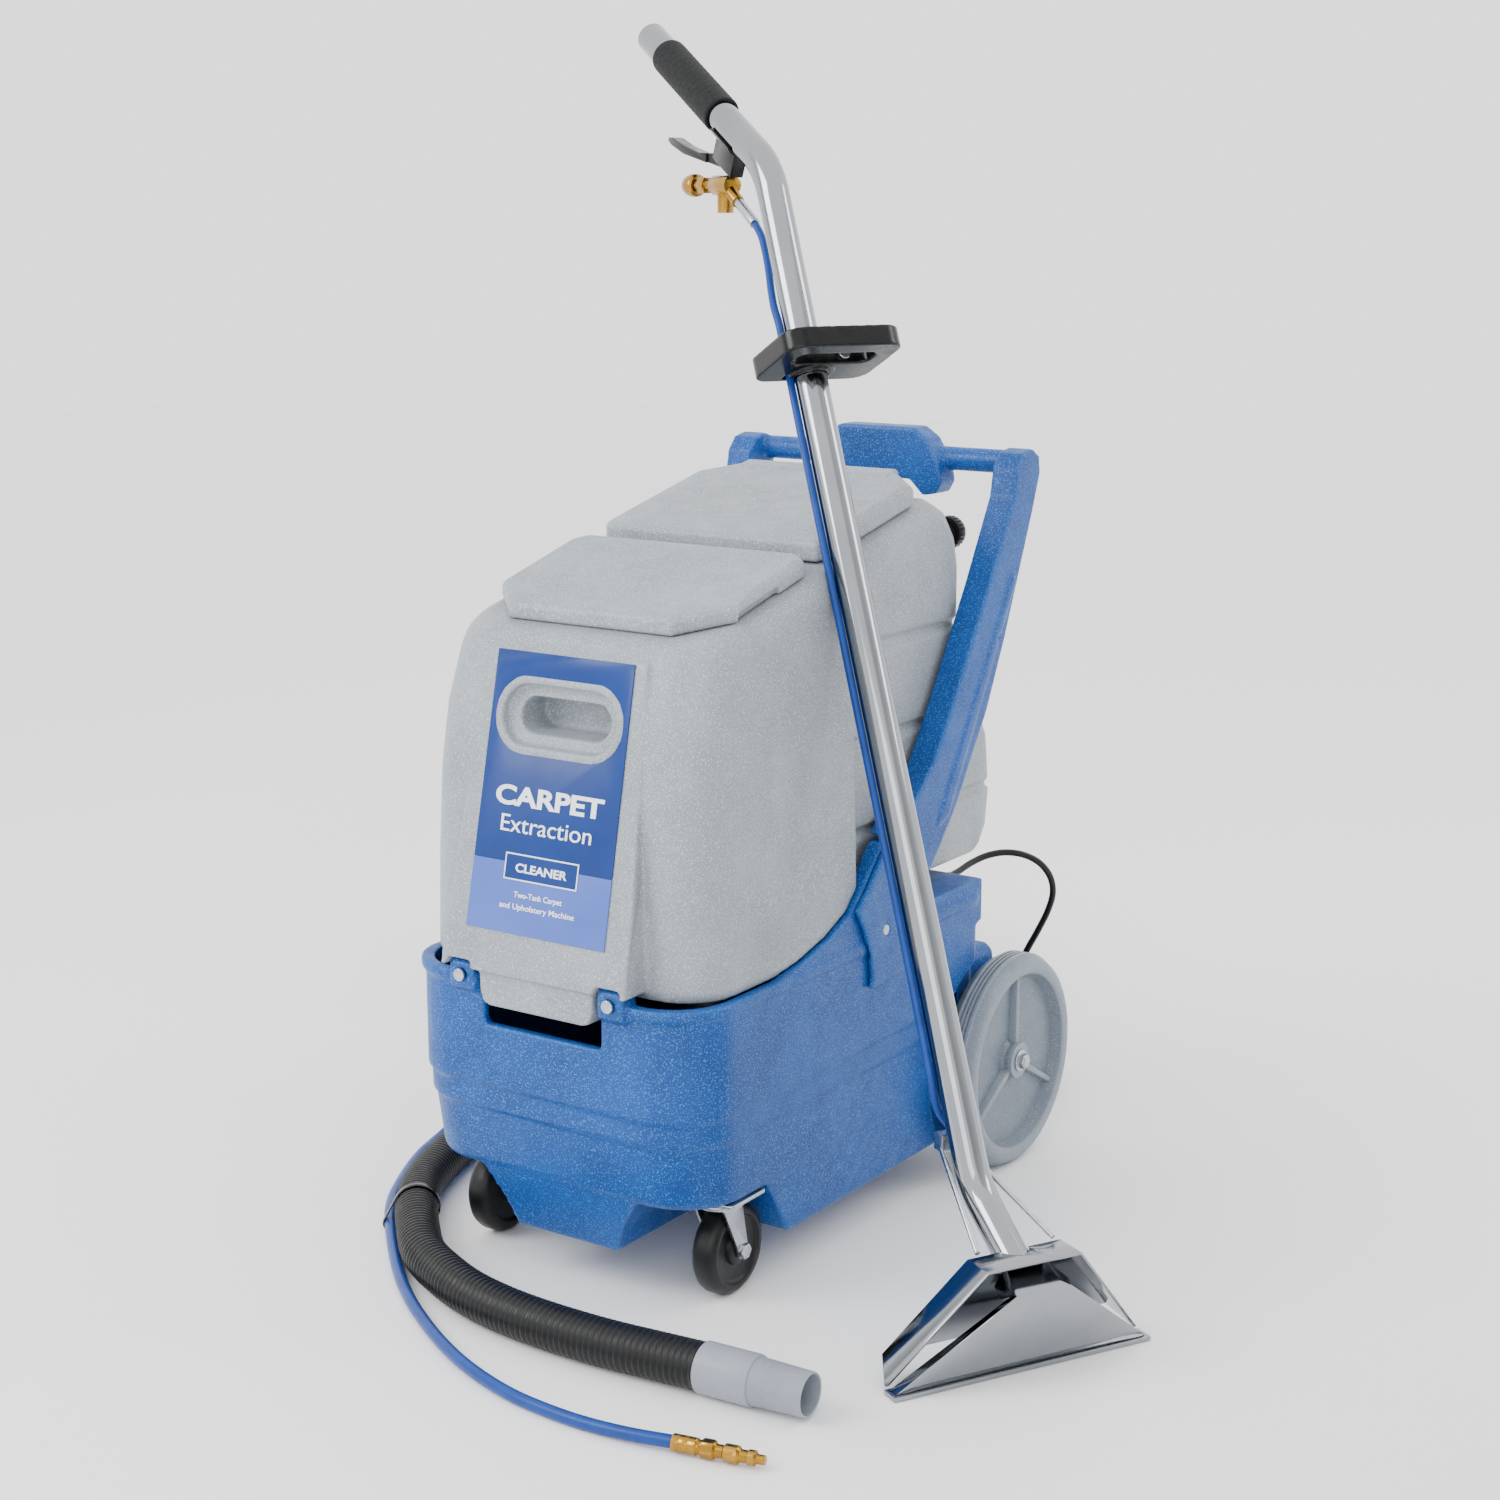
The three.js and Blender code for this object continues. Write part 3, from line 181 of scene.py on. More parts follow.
@dataclass(frozen=True)
class Finish:
    """One real material: its colours, and the real size of what varies in it."""

    name: str
    slot: str
    kind: Kind
    base: str
    mottle: str
    fleck: str
    fleck_share: float = 0.0
    fleck_mm: float = 1.6
    mottle_mm: float = 60.0
    rough: tuple[float, float] = (0.4, 0.55)
    grain_mm: float = 0.8
    grain_depth_mm: float = 0.05
    wear: float = 0.25
    coat: float = 0.0
    shine: float = 0.3

    def build(self) -> bpy.types.Material:
        """Builds the node material.

        Returns:
            The Blender material, named for the real one.
        """
        material = bpy.data.materials.new(self.name)
        material.use_nodes = True
        tree = material.node_tree
        tree.nodes.clear()
        place = add_node(tree, "ShaderNodeTexCoord").outputs["Object"]

        def noise(size_mm: float, detail: float = 3.0) -> bpy.types.NodeSocket:
            """Noise whose patches are about that many millimetres across.

            Args:
                size_mm: how wide a patch is.
                detail: how many finer layers it has.

            Returns:
                The value.
            """
            return add_node(tree, "ShaderNodeTexNoise",
                            {"Scale": 1 / (size_mm * MM), "Detail": detail, "Roughness": 0.6},
                            {"Vector": place}).outputs["Fac"]

        def spread(fac: bpy.types.NodeSocket, low: float, high: float,
                   to: tuple[float, float] = (0.0, 1.0)) -> bpy.types.NodeSocket:
            """Stretches a band of a value over another range.

            Args:
                fac: the value.
                low: where the band starts.
                high: where it ends.
                to: the range that it becomes.

            Returns:
                The stretched value.
            """
            return add_node(tree, "ShaderNodeMapRange",
                            {"From Min": low, "From Max": high, "To Min": to[0],
                             "To Max": to[1]}, {"Value": fac}).outputs["Result"]

        def mix(fac: bpy.types.NodeSocket, a: object, b: object) -> bpy.types.NodeSocket:
            """Mixes two colours, each a value or a socket.

            Args:
                fac: how much of the second colour.
                a: the first colour.
                b: the second colour.

            Returns:
                The mixed colour.
            """
            node = add_node(tree, "ShaderNodeMix", {"data_type": "RGBA"}, {0: fac})
            for number, value in ((6, a), (7, b)):
                if isinstance(value, tuple):
                    node.inputs[number].default_value = value
                else:
                    tree.links.new(value, node.inputs[number])
            return node.outputs[2]

        colour = mix(spread(noise(self.mottle_mm), 0.35, 0.65), srgb(self.base),
                     srgb(self.mottle))
        if self.fleck_share > 0:
            edge = 0.66 - 0.22 * self.fleck_share
            colour = mix(spread(noise(self.fleck_mm, 1.0), edge, edge + 0.05), colour,
                         srgb(self.fleck))
            colour = mix(spread(noise(self.fleck_mm * 0.8, 1.0), 0.36, 0.31, (0.0, 0.55)), colour,
                         srgb(self.mottle))
        if self.wear > 0:
            edge = add_node(tree, "ShaderNodeNewGeometry").outputs["Pointiness"]
            worn = add_node(tree, "ShaderNodeMath", {"operation": "MULTIPLY", 1: self.wear},
                            {0: spread(edge, 0.51, 0.56)}).outputs[0]
            colour = mix(worn, colour, srgb(self.fleck))
        relief = noise(self.grain_mm, 2.0)
        if self.kind in (Kind.POLISHED, Kind.PLATED):
            # polishing and turning marks run one way, so the pattern is drawn out
            brushed = add_node(tree, "ShaderNodeMapping", {"Scale": (1.0, 1.0, 14.0)},
                               {"Vector": place}).outputs["Vector"]
            relief = add_node(tree, "ShaderNodeTexNoise",
                              {"Scale": 1 / (self.grain_mm * 4 * MM), "Detail": 2.0},
                              {"Vector": brushed}).outputs["Fac"]
        bump = add_node(tree, "ShaderNodeBump",
                        {"Strength": 1.0, "Distance": self.grain_depth_mm * MM},
                        {"Height": relief}).outputs["Normal"]
        metal = 1.0 if self.kind in (Kind.POLISHED, Kind.PLATED) else 0.0
        settings = {"Metallic": metal, "Coat Weight": self.coat, "Coat Roughness": 0.12,
                    "Specular IOR Level": self.shine}
        if self.kind in (Kind.FOAM, Kind.RUBBER):
            settings["Sheen Weight"] = 0.03
            settings["Sheen Roughness"] = 0.5
        shader = add_node(tree, "ShaderNodeBsdfPrincipled", settings, {
            "Base Color": colour,
            "Roughness": spread(noise(self.mottle_mm / 4), 0.3, 0.7, self.rough),
            "Normal": bump,
        })
        add_node(tree, "ShaderNodeOutputMaterial", {}, {"Surface": shader.outputs[0]})
        return material


FINISHES = (
    # rotomoulded from speckled powder: satin, with pale flecks and a slight orange peel
    Finish("rotomoulded_blue_polyethylene", "blue_polyethylene", Kind.MOULDED, "#08458F",
           "#063A7C", "#2F74BE", 0.34, 1.7, 90, (0.34, 0.48), 2.2, 0.12, 0.3),
    # the same powder process in light grey
    Finish("rotomoulded_grey_polyethylene", "grey_polyethylene", Kind.MOULDED, "#8F969D",
           "#82898F", "#AEB4B9", 0.40, 1.6, 90, (0.34, 0.48), 2.2, 0.12, 0.2),
    # printed polyester film: even colour, a low even sheen
    Finish("printed_film_dark_blue", "label_film_dark", Kind.FILM, "#002B70", "#003078",
           "#1C56A8", 0, 2, 70, (0.3, 0.4), 3.0, 0.01, 0.0, 0.1),
    # the same film printed in the lighter blue
    Finish("printed_film_light_blue", "label_film_light", Kind.FILM, "#4560B4", "#4A66BA",
           "#7890D8", 0, 2, 70, (0.3, 0.4), 3.0, 0.01, 0.0, 0.1),
    # white ink on the film: bright, with the film's own sheen
    Finish("printed_white_ink", "label_film_dark", Kind.FILM, "#F2F4F8", "#E8ECF2", "#FFFFFF",
           0, 2, 30, (0.35, 0.45), 2.0, 0.01, 0.0, 0.1),
    # injection moulded: smoother than the tanks, edges scuffed paler
    Finish("moulded_wheel_polypropylene", "wheel_plastic", Kind.MOULDED, "#6A7480", "#626C78",
           "#A0A9B2", 0.1, 1.2, 60, (0.3, 0.42), 0.9, 0.03, 0.4),
    # dipped soft vinyl: a broad soft highlight
    Finish("cuff_soft_vinyl", "cuff_vinyl", Kind.MOULDED, "#868B96", "#7E838E", "#A4A9B2", 0,
           2, 50, (0.26, 0.36), 1.0, 0.02, 0.25),
    # glossy moulded nylon: near black with small bright highlights
    Finish("moulded_black_nylon", "black_plastic", Kind.MOULDED, "#050607", "#08090B",
           "#16191C", 0, 2, 40, (0.16, 0.28), 0.7, 0.02, 0.1),
    # vulcanised rubber: dull, with a trace of dusty sheen
    Finish("black_rubber", "black_rubber", Kind.RUBBER, "#060708", "#0A0B0D", "#1A1C1F", 0, 2,
           30, (0.34, 0.5), 0.7, 0.05, 0.0),
    # closed-cell foam: fine pores and hardly any highlight
    Finish("closed_cell_foam", "foam_grip", Kind.FOAM, "#050607", "#090A0C", "#17191C", 0.3,
           0.9, 14, (0.7, 0.88), 0.8, 0.35, 0.0),
    # tube polished along its length: long clear reflections
    Finish("polished_stainless_steel", "stainless_steel", Kind.POLISHED, "#9A9DA1", "#8F9398",
           "#D6D8DA", 0, 2, 120, (0.07, 0.15), 0.5, 0.003, 0.0),
    # bright zinc plate: cloudy patches, softer reflections than steel
    Finish("bright_zinc_plate", "zinc_plated_steel", Kind.PLATED, "#B4B9BE", "#A2A8AE",
           "#D0D4D8", 0, 2, 25, (0.22, 0.36), 0.6, 0.01, 0.2),
    # turned brass: warm, with tool marks
    Finish("machined_brass", "brass", Kind.PLATED, "#A67C2C", "#8E6620", "#CBA45C", 0, 2, 14,
           (0.16, 0.32), 0.4, 0.008, 0.3),
    # smooth extruded rubber cover
    Finish("blue_rubber_hose_cover", "blue_hose_rubber", Kind.RUBBER, "#043A8A", "#04337C",
           "#2E70C0", 0, 2, 25, (0.3, 0.42), 0.6, 0.03, 0.0),
    # as-cast aluminium: grey and rough
    Finish("cast_motor_casing", "motor_casing", Kind.PLATED, "#8F949A", "#7F858C", "#A9AEB4",
           0, 2, 20, (0.45, 0.6), 0.9, 0.06, 0.2),
)


class Paint:
    """The built materials, by the name of the finish."""

    def __init__(self) -> None:
        """Builds every material once."""
        self.by_name = {f.name: (f, f.build()) for f in FINISHES}
        self.by_slot = {}
        for finish, material in self.by_name.values():
            self.by_slot.setdefault(finish.slot, (finish, material))

    def put(self, piece: bpy.types.Object, name: str) -> None:
        """Gives a piece one finish.

        Args:
            piece: the piece to dress.
            name: the finish's name.
        """
        finish, material = self.by_name[name]
        piece.data.materials.clear()
        piece.data.materials.append(material)


# ------------------------------------------------------------------------ mesh helpers
def new_object(name: str, data: bpy.types.ID) -> bpy.types.Object:
    """Links a new object, at the origin and unturned.

    Args:
        name: the object's name.
        data: its mesh, curve, light or camera.

    Returns:
        The linked object.
    """
    made = bpy.data.objects.new(name, data)
    bpy.context.scene.collection.objects.link(made)
    return made


def bake(piece: bpy.types.Object) -> None:
    """Turns a piece's modifiers into plain mesh and removes them.

    Args:
        piece: a piece with modifiers.
    """
    bpy.context.view_layer.update()
    graph = bpy.context.evaluated_depsgraph_get()
    mesh = bpy.data.meshes.new_from_object(piece.evaluated_get(graph))
    piece.modifiers.clear()
    piece.data = mesh


def smooth(piece: bpy.types.Object, degrees: float) -> None:
    """Smooth shading with the edges sharper than the angle kept crisp.

    Args:
        piece: a mesh object.
        degrees: the angle that stays crisp.
    """
    piece.data.shade_smooth()
    piece.data.set_sharp_from_angle(angle=math.radians(degrees))


def mesh_piece(name: str, points: Sequence[Vector], faces: Sequence[Sequence[int]],
               frame: Matrix, angle: float = 35) -> bpy.types.Object:
    """A mesh object from points in a local frame, its faces turned outwards.

    Args:
        name: the object's name.
        points: corners in the local frame.
        faces: corner numbers of each face.
        frame: local frame to row frame.
        angle: edges sharper than this, in degrees, stay crisp.

    Returns:
        The new object.
    """
    mesh = bpy.data.meshes.new(name)
    mesh.from_pydata([frame @ p for p in points], [], faces)
    work = bmesh.new()
    work.from_mesh(mesh)
    bmesh.ops.recalc_face_normals(work, faces=work.faces)
    work.to_mesh(mesh)
    work.free()
    piece = new_object(name, mesh)
    smooth(piece, angle)
    return piece


def lathe(name: str, profile: Profile, frame: Matrix, segments: int = 64,
          shape: Callable[[int, int, float], float] | None = None) -> bpy.types.Object:
    """Turns a closed profile of (radius, height) about the frame's Z.

    Args:
        name: the object's name.
        profile: points in millimetres, in order round the section.
        frame: where the piece stands.
        segments: steps round the axis.
        shape: may change a radius: (point, step, radius) to radius.

    Returns:
        The turned piece.
    """
    points, faces = [], []
    count = len(profile)
    for step in range(segments):
        angle = 2 * math.pi * step / segments
        for number, (radius, height) in enumerate(profile):
            r = shape(number, step, radius) if shape else radius
            points.append(Vector((r * math.cos(angle), r * math.sin(angle), height)))
    for step in range(segments):
        here, after = step * count, (step + 1) % segments * count
        for number in range(count):
            other = (number + 1) % count
            faces.append((here + number, after + number, after + other, here + other))
    piece = mesh_piece(name, points, faces, frame)
    tidy_mesh(piece)
    return piece


def tidy_mesh(piece: bpy.types.Object, near: float = 1e-6) -> None:
    """Joins points that coincide and drops faces that vanished with them.

    Args:
        piece: a mesh object.
        near: distance in metres under which points are one.
    """
    work = bmesh.new()
    work.from_mesh(piece.data)
    bmesh.ops.remove_doubles(work, verts=work.verts, dist=near)
    bmesh.ops.recalc_face_normals(work, faces=work.faces)
    work.to_mesh(piece.data)
    work.free()
    smooth(piece, 35)


def round_rod(profile: Profile, bevel: float = 0.8) -> list[tuple[float, float]]:
    """Cuts each corner of a profile, so that a turned piece catches the light.

    Args:
        profile: a closed section of (radius, height).
        bevel: how far each corner is cut back.

    Returns:
        The section with its corners cut.
    """
    made = []
    count = len(profile)
    for i, (r, h) in enumerate(profile):
        here = Vector((r, h))
        before, after = Vector(profile[i - 1]), Vector(profile[(i + 1) % count])
        if r <= 0 or (before - here).length < 3 * bevel or (after - here).length < 3 * bevel:
            made.append((r, h))
            continue
        for other in (before, after):
            at = here + (other - here).normalized() * bevel
            made.append((at.x, at.y))
    return made


def sweep(name: str, route: Sequence[Vector], outer: float, inner: float, frame: Matrix,
          sides: int = 48) -> bpy.types.Object:
    """A pipe along a route, open at both ends, with its wall's rim.

    Args:
        name: the object's name.
        route: points of the centreline.
        outer: outer radius.
        inner: inner radius.
        frame: the frame that the route is given in.
        sides: steps round the pipe.

    Returns:
        The pipe.
    """
    rings = []
    turn = None
    for i, here in enumerate(route):
        before, after = route[max(i - 1, 0)], route[min(i + 1, len(route) - 1)]
        way = (after - before).normalized()
        if turn is None:
            turn = way.to_track_quat("Z", "Y")
        else:
            turn = (turn @ Vector((0, 0, 1))).rotation_difference(way) @ turn
        rings.append([[here + turn @ Vector((r * math.cos(a), r * math.sin(a), 0))
                       for a in (2 * math.pi * k / sides for k in range(sides))]
                      for r in (outer, inner)])
    points = [p for pair in rings for ring in pair for p in ring]
    faces = []
    last = len(rings) - 1
    for k in range(sides):
        n = (k + 1) % sides
        for i in range(last):
            a, b = i * 2 * sides, (i + 1) * 2 * sides
            faces.append((a + k, a + n, b + n, b + k))
            faces.append((a + sides + k, b + sides + k, b + sides + n, a + sides + n))
        for a in (0, last * 2 * sides):
            faces.append((a + k, a + sides + k, a + sides + n, a + n))
    return mesh_piece(name, points, faces, frame)


def bent_line(corners: Sequence[Point], radius: float, steps: int = 24) -> list[Vector]:
    """Corner points joined by straight runs and arcs of one radius.

    Args:
        corners: the corner points.
        radius: radius of every bend.
        steps: steps in each bend.

    Returns:
        Points along the line.
    """
    p = [Vector(c) for c in corners]
    made = [p[0]]
    for i in range(1, len(p) - 1):
        back = (p[i - 1] - p[i]).normalized()
        on = (p[i + 1] - p[i]).normalized()
        half = back.angle(on) / 2
        reach = radius / math.tan(half)
        centre = (back + on).normalized() * (radius / math.sin(half)) + p[i]
        start = back * reach + p[i] - centre
        end = on * reach + p[i] - centre
        axis, turn = start.cross(end).normalized(), start.angle(end)
        made += [Quaternion(axis, turn * k / steps) @ start + centre for k in range(steps + 1)]
    return made + [p[-1]]


def smooth_route(route: Sequence[Vector], step: float) -> list[Vector]:
    """Points a fixed step apart on one smooth curve through a route (centripetal).

    Args:
        route: points that the curve passes through.
        step: distance between the new points.

    Returns:
        Points along the curve.
    """
    p = [route[0] * 2 - route[1], *route, route[-1] * 2 - route[-2]]
    dense = []
    for i in range(1, len(p) - 2):
        a, b, c, d = p[i - 1:i + 3]
        t0 = 0.0
        t1 = t0 + max((b - a).length, 1e-9) ** 0.5
        t2 = t1 + max((c - b).length, 1e-9) ** 0.5
        t3 = t2 + max((d - c).length, 1e-9) ** 0.5
        count = max(2, round((c - b).length / step))
        for k in range(count):
            t = t1 + (t2 - t1) * k / count
            a1 = a * ((t1 - t) / (t1 - t0)) + b * ((t - t0) / (t1 - t0))
            a2 = b * ((t2 - t) / (t2 - t1)) + c * ((t - t1) / (t2 - t1))
            a3 = c * ((t3 - t) / (t3 - t2)) + d * ((t - t2) / (t3 - t2))
            b1 = a1 * ((t2 - t) / (t2 - t0)) + a2 * ((t - t0) / (t2 - t0))
            b2 = a2 * ((t3 - t) / (t3 - t1)) + a3 * ((t - t1) / (t3 - t1))
            dense.append(b1 * ((t2 - t) / (t2 - t1)) + b2 * ((t - t1) / (t2 - t1)))
    return dense + [p[-2]]


def length_of(route: Sequence[Vector]) -> float:
    """Length of a route in metres.

    Args:
        route: points along a line.

    Returns:
        The sum of its steps.
    """
    return sum((b - a).length for a, b in zip(route, route[1:]))


# ------------------------------------------------------------------- dressed CAD nodes
class Edge(Enum):
    """How a dressed node's edges are finished."""

    CRISP = "crisp"
    SOFT = "soft"


@dataclass(frozen=True)
class Dress:
    """How one CAD node is dressed: a fine bevel, or a soft rotomoulded skin."""

    node: str
    edge: Edge = Edge.CRISP
    bevel_mm: float = 0.7
    voxel_mm: float = 3.0
    passes: int = 5
    finish: str | None = None

    def make(self, frame: dict, paint: Paint) -> bpy.types.Object:
        """Builds the piece that stands for the node.

        Args:
            paint: the built materials.

        Returns:
            The finished piece, riding on the node's body.
        """
        source = frame["nodes"][self.node]
        piece = new_object(f"{self.node}_skin", source.data.copy())
        tidy_mesh(piece, 2e-5)
        if self.edge is Edge.SOFT:
            skin = piece.modifiers.new("skin", "REMESH")
            skin.mode = "VOXEL"
            skin.voxel_size = self.voxel_mm * MM
            relax = piece.modifiers.new("relax", "SMOOTH")
            relax.factor = 0.5
            relax.iterations = self.passes
            bake(piece)
            triangles = 2 * len(piece.data.polygons)
            if triangles > SKIN_LIMIT:
                thin = piece.modifiers.new("thin", "DECIMATE")
                thin.ratio = SKIN_AIM / triangles
                bake(piece)
            piece.data.shade_smooth()
        else:
            work = bmesh.new()
            work.from_mesh(piece.data)
            bmesh.ops.dissolve_limit(work, angle_limit=math.radians(1.0), verts=work.verts,
                                     edges=work.edges)
            work.to_mesh(piece.data)
            work.free()
            bevel = piece.modifiers.new("bevel", "BEVEL")
            bevel.width = self.bevel_mm * MM
            bevel.segments = 2
            bevel.limit_method = "ANGLE"
            bevel.angle_limit = math.radians(38)
            bevel.use_clamp_overlap = True
            bake(piece)
            smooth(piece, CREASE_DEGREES)
        slot = next(n["material_slot"] for n in frame["record"]["subparts"]
                    if n["node"] == self.node)
        name = self.finish or paint.by_slot[slot][0].name
        paint.put(piece, name)
        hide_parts(self.node)
        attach(piece, source["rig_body"])
        LOG.info("%s: %d faces, %s", piece.name, len(piece.data.polygons), name)
        return piece


@dataclass
class Skins:
    """Every CAD node that keeps its CAD shape and gets a better surface."""

    soft: tuple[Dress, ...] = (
        Dress("base_housing", Edge.SOFT, voxel_mm=2.8, passes=3),
        Dress("front_tank", Edge.SOFT, voxel_mm=2.6, passes=4),
        Dress("rear_tank", Edge.SOFT, voxel_mm=2.6, passes=4),
        Dress("front_lid", Edge.SOFT, voxel_mm=1.8, passes=4),
        Dress("rear_lid", Edge.SOFT, voxel_mm=1.8, passes=4),
        Dress("handle_frame", Edge.SOFT, voxel_mm=2.6, passes=4),
        Dress("mid_handle", Edge.SOFT, voxel_mm=1.3, passes=6),
    )
    crisp: tuple[Dress, ...] = (
        Dress("label_upper", bevel_mm=0.2), Dress("label_lower", bevel_mm=0.2),
        Dress("switch_plate"), Dress("rocker_vacuum"), Dress("rocker_pump"),
        Dress("hose_port"), Dress("lead_gland", bevel_mm=0.5), Dress("mains_plug", bevel_mm=3.0),
        Dress("valve_bracket"), Dress("trigger_lever", bevel_mm=1.2),
        Dress("spray_tee", finish="bright_zinc_plate"),
        Dress("handle_screw_left"), Dress("handle_screw_right"),
        Dress("lug_screw_left"), Dress("lug_screw_right"), Dress("rear_axle"),
        Dress("caster_plate_left"), Dress("caster_plate_right"),
        Dress("caster_fork_left", bevel_mm=0.5), Dress("caster_fork_right", bevel_mm=0.5),
        Dress("mid_handle_bolt"), Dress("hose_swage", bevel_mm=0.5),
        Dress("solution_outlet"), Dress("valve_body", bevel_mm=0.6),
        Dress("hose_tie", bevel_mm=0.3),
        Dress("head_hood", bevel_mm=0.6), Dress("head_shoe", bevel_mm=0.6),
        Dress("head_lip", bevel_mm=0.4), Dress("vacuum_motor", bevel_mm=2.0),
        Dress("pump_motor", bevel_mm=2.0),
    )

    def make(self, frame: dict, paint: Paint) -> None:
        """Dresses every listed node.

        Args:
            frame: each node's frame.
            paint: the built materials.
        """
        for dress in (*self.soft, *self.crisp):
            dress.make(frame, paint)


# ---------------------------------------------------------------------------- wheels
@dataclass
class RearWheels:
    """Two ten-inch wheels: grooved tread, thick rim, dished web, three ribs and a hub."""

    radius: float = 127.0
    width: float = 42.0
    face_x: float = 232.0
    axle_y: float = 261.5
    grooves: int = 3
    groove_depth: float = 2.2
    ribs: int = 3

    def profile(self) -> list[tuple[float, float]]:
        """The section of the wheel, as (radius, height) from its outer face inwards.

        Returns:
            The points of the section.
        """
        w, r = self.width, self.radius
        tread = []
        gap = (w - 22) / (self.grooves + 1)
        for i in range(self.grooves):
            middle = -w + 11 + gap * (i + 1)
            tread += [(r, middle - 1.6), (r - self.groove_depth, middle - 1.0),
                      (r - self.groove_depth, middle + 1.0), (r, middle + 1.6)]
        return [(8.3, -w + 1), (20, -w + 1), (22, -w + 10), (97, -w + 12), (100, -w + 3),
                (103, -w + 1), (117, -w), (121, -w + 2), (r - 2, -w + 9), (r, -w + 11.5),
                *tread, (r, -11.5), (r - 2, -9), (121, -2), (117, 0), (107, 0), (104, -1.5),
                (98, -14), (26, -16), (22, -12), (21, -3), (8.3, -3)]

    def make(self, place: Place, paint: Paint) -> None:
        """Builds both wheels.

        Args:
            place: the machine's place.
            paint: the built materials.
        """
        for side, tag in ((-1, "left"), (1, "right")):
            frame = axis_frame(place.machine, (side * self.face_x, self.axle_y, self.radius),
                               (side, 0, 0))

            wheel = lathe(f"wheel_{tag}_moulding", self.profile(), frame, 160)
            parts = [wheel]
            for i in range(self.ribs):
                turn = Matrix.Rotation(math.pi / 2 + i * 2 * math.pi / self.ribs, 4, "Z")
                parts.append(self.rib(frame @ turn, f"rib_{tag}_{i}"))
            merge(parts)
            paint.put(wheel, "moulded_wheel_polypropylene")
            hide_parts(f"wheel_{tag}")
            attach(wheel, f"wheel_{tag}")
            LOG.info("%s: %d faces", wheel.name, len(wheel.data.polygons))

    def rib(self, frame: Matrix, name: str) -> bpy.types.Object:
        """One tapering rib between the hub and the rim.

        Args:
            frame: the wheel's frame, turned to the rib.
            name: the object's name.

        Returns:
            The rib.
        """
        bottom, top = -17.0, -6.5
        section = [(20, 4.6), (100, 3.4), (100, -3.4), (20, -4.6)]
        low = [Vector((x, y * 1.25, bottom)) for x, y in section]
        high = [Vector((x, y * 0.8, top)) for x, y in section]
        faces = [(3, 2, 1, 0), (4, 5, 6, 7)]
        faces += [(i, (i + 1) % 4, 4 + (i + 1) % 4, 4 + i) for i in range(4)]
        piece = mesh_piece(name, low + high, faces, frame)
        bevel = piece.modifiers.new("bevel", "BEVEL")
        bevel.width = 1.2 * MM
        bevel.segments = 3
        bake(piece)
        smooth(piece, CREASE_DEGREES)
        return piece


def merge(parts: Sequence[bpy.types.Object]) -> bpy.types.Object:
    """Joins finished pieces into the first of them.

    Args:
        parts: mesh objects.

    Returns:
        The first of them, now holding all.
    """
    with bpy.context.temp_override(active_object=parts[0], object=parts[0],
                                   selected_objects=list(parts),
                                   selected_editable_objects=list(parts)):
        bpy.ops.object.join()
    return parts[0]


@dataclass
class CasterWheels:
    """Two front caster wheels: rubber tyre, web and hub."""

    radius: float = 50.0
    width: float = 30.0
    swivel_x: float = 150.8
    axle_y: float = -233.4

    def make(self, place: Place, paint: Paint) -> None:
        """Builds both wheels.

        Args:
            place: the machine's place.
            paint: the built materials.
        """
        h, r = self.width / 2, self.radius
        half = [(5.4, h), (14, h), (16, h - 1), (17.5, h - 5), (34, h - 5), (36, h - 4),
                (38, h - 0.6), (41, h), (45, h - 1.6), (48.4, h - 5), (r, h - 9)]
        profile = [(a, -b) for a, b in half] + [(a, b) for a, b in reversed(half)]
        for side, tag in ((-1, "left"), (1, "right")):
            frame = axis_frame(place.machine, (side * self.swivel_x, self.axle_y, r), (1, 0, 0))
            wheel = lathe(f"caster_wheel_{tag}_tyre", profile, frame, 72)
            paint.put(wheel, "black_rubber")
            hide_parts(f"caster_wheel_{tag}")
            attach(wheel, f"caster_roll_{tag}")
            LOG.info("%s: %d faces", wheel.name, len(wheel.data.polygons))


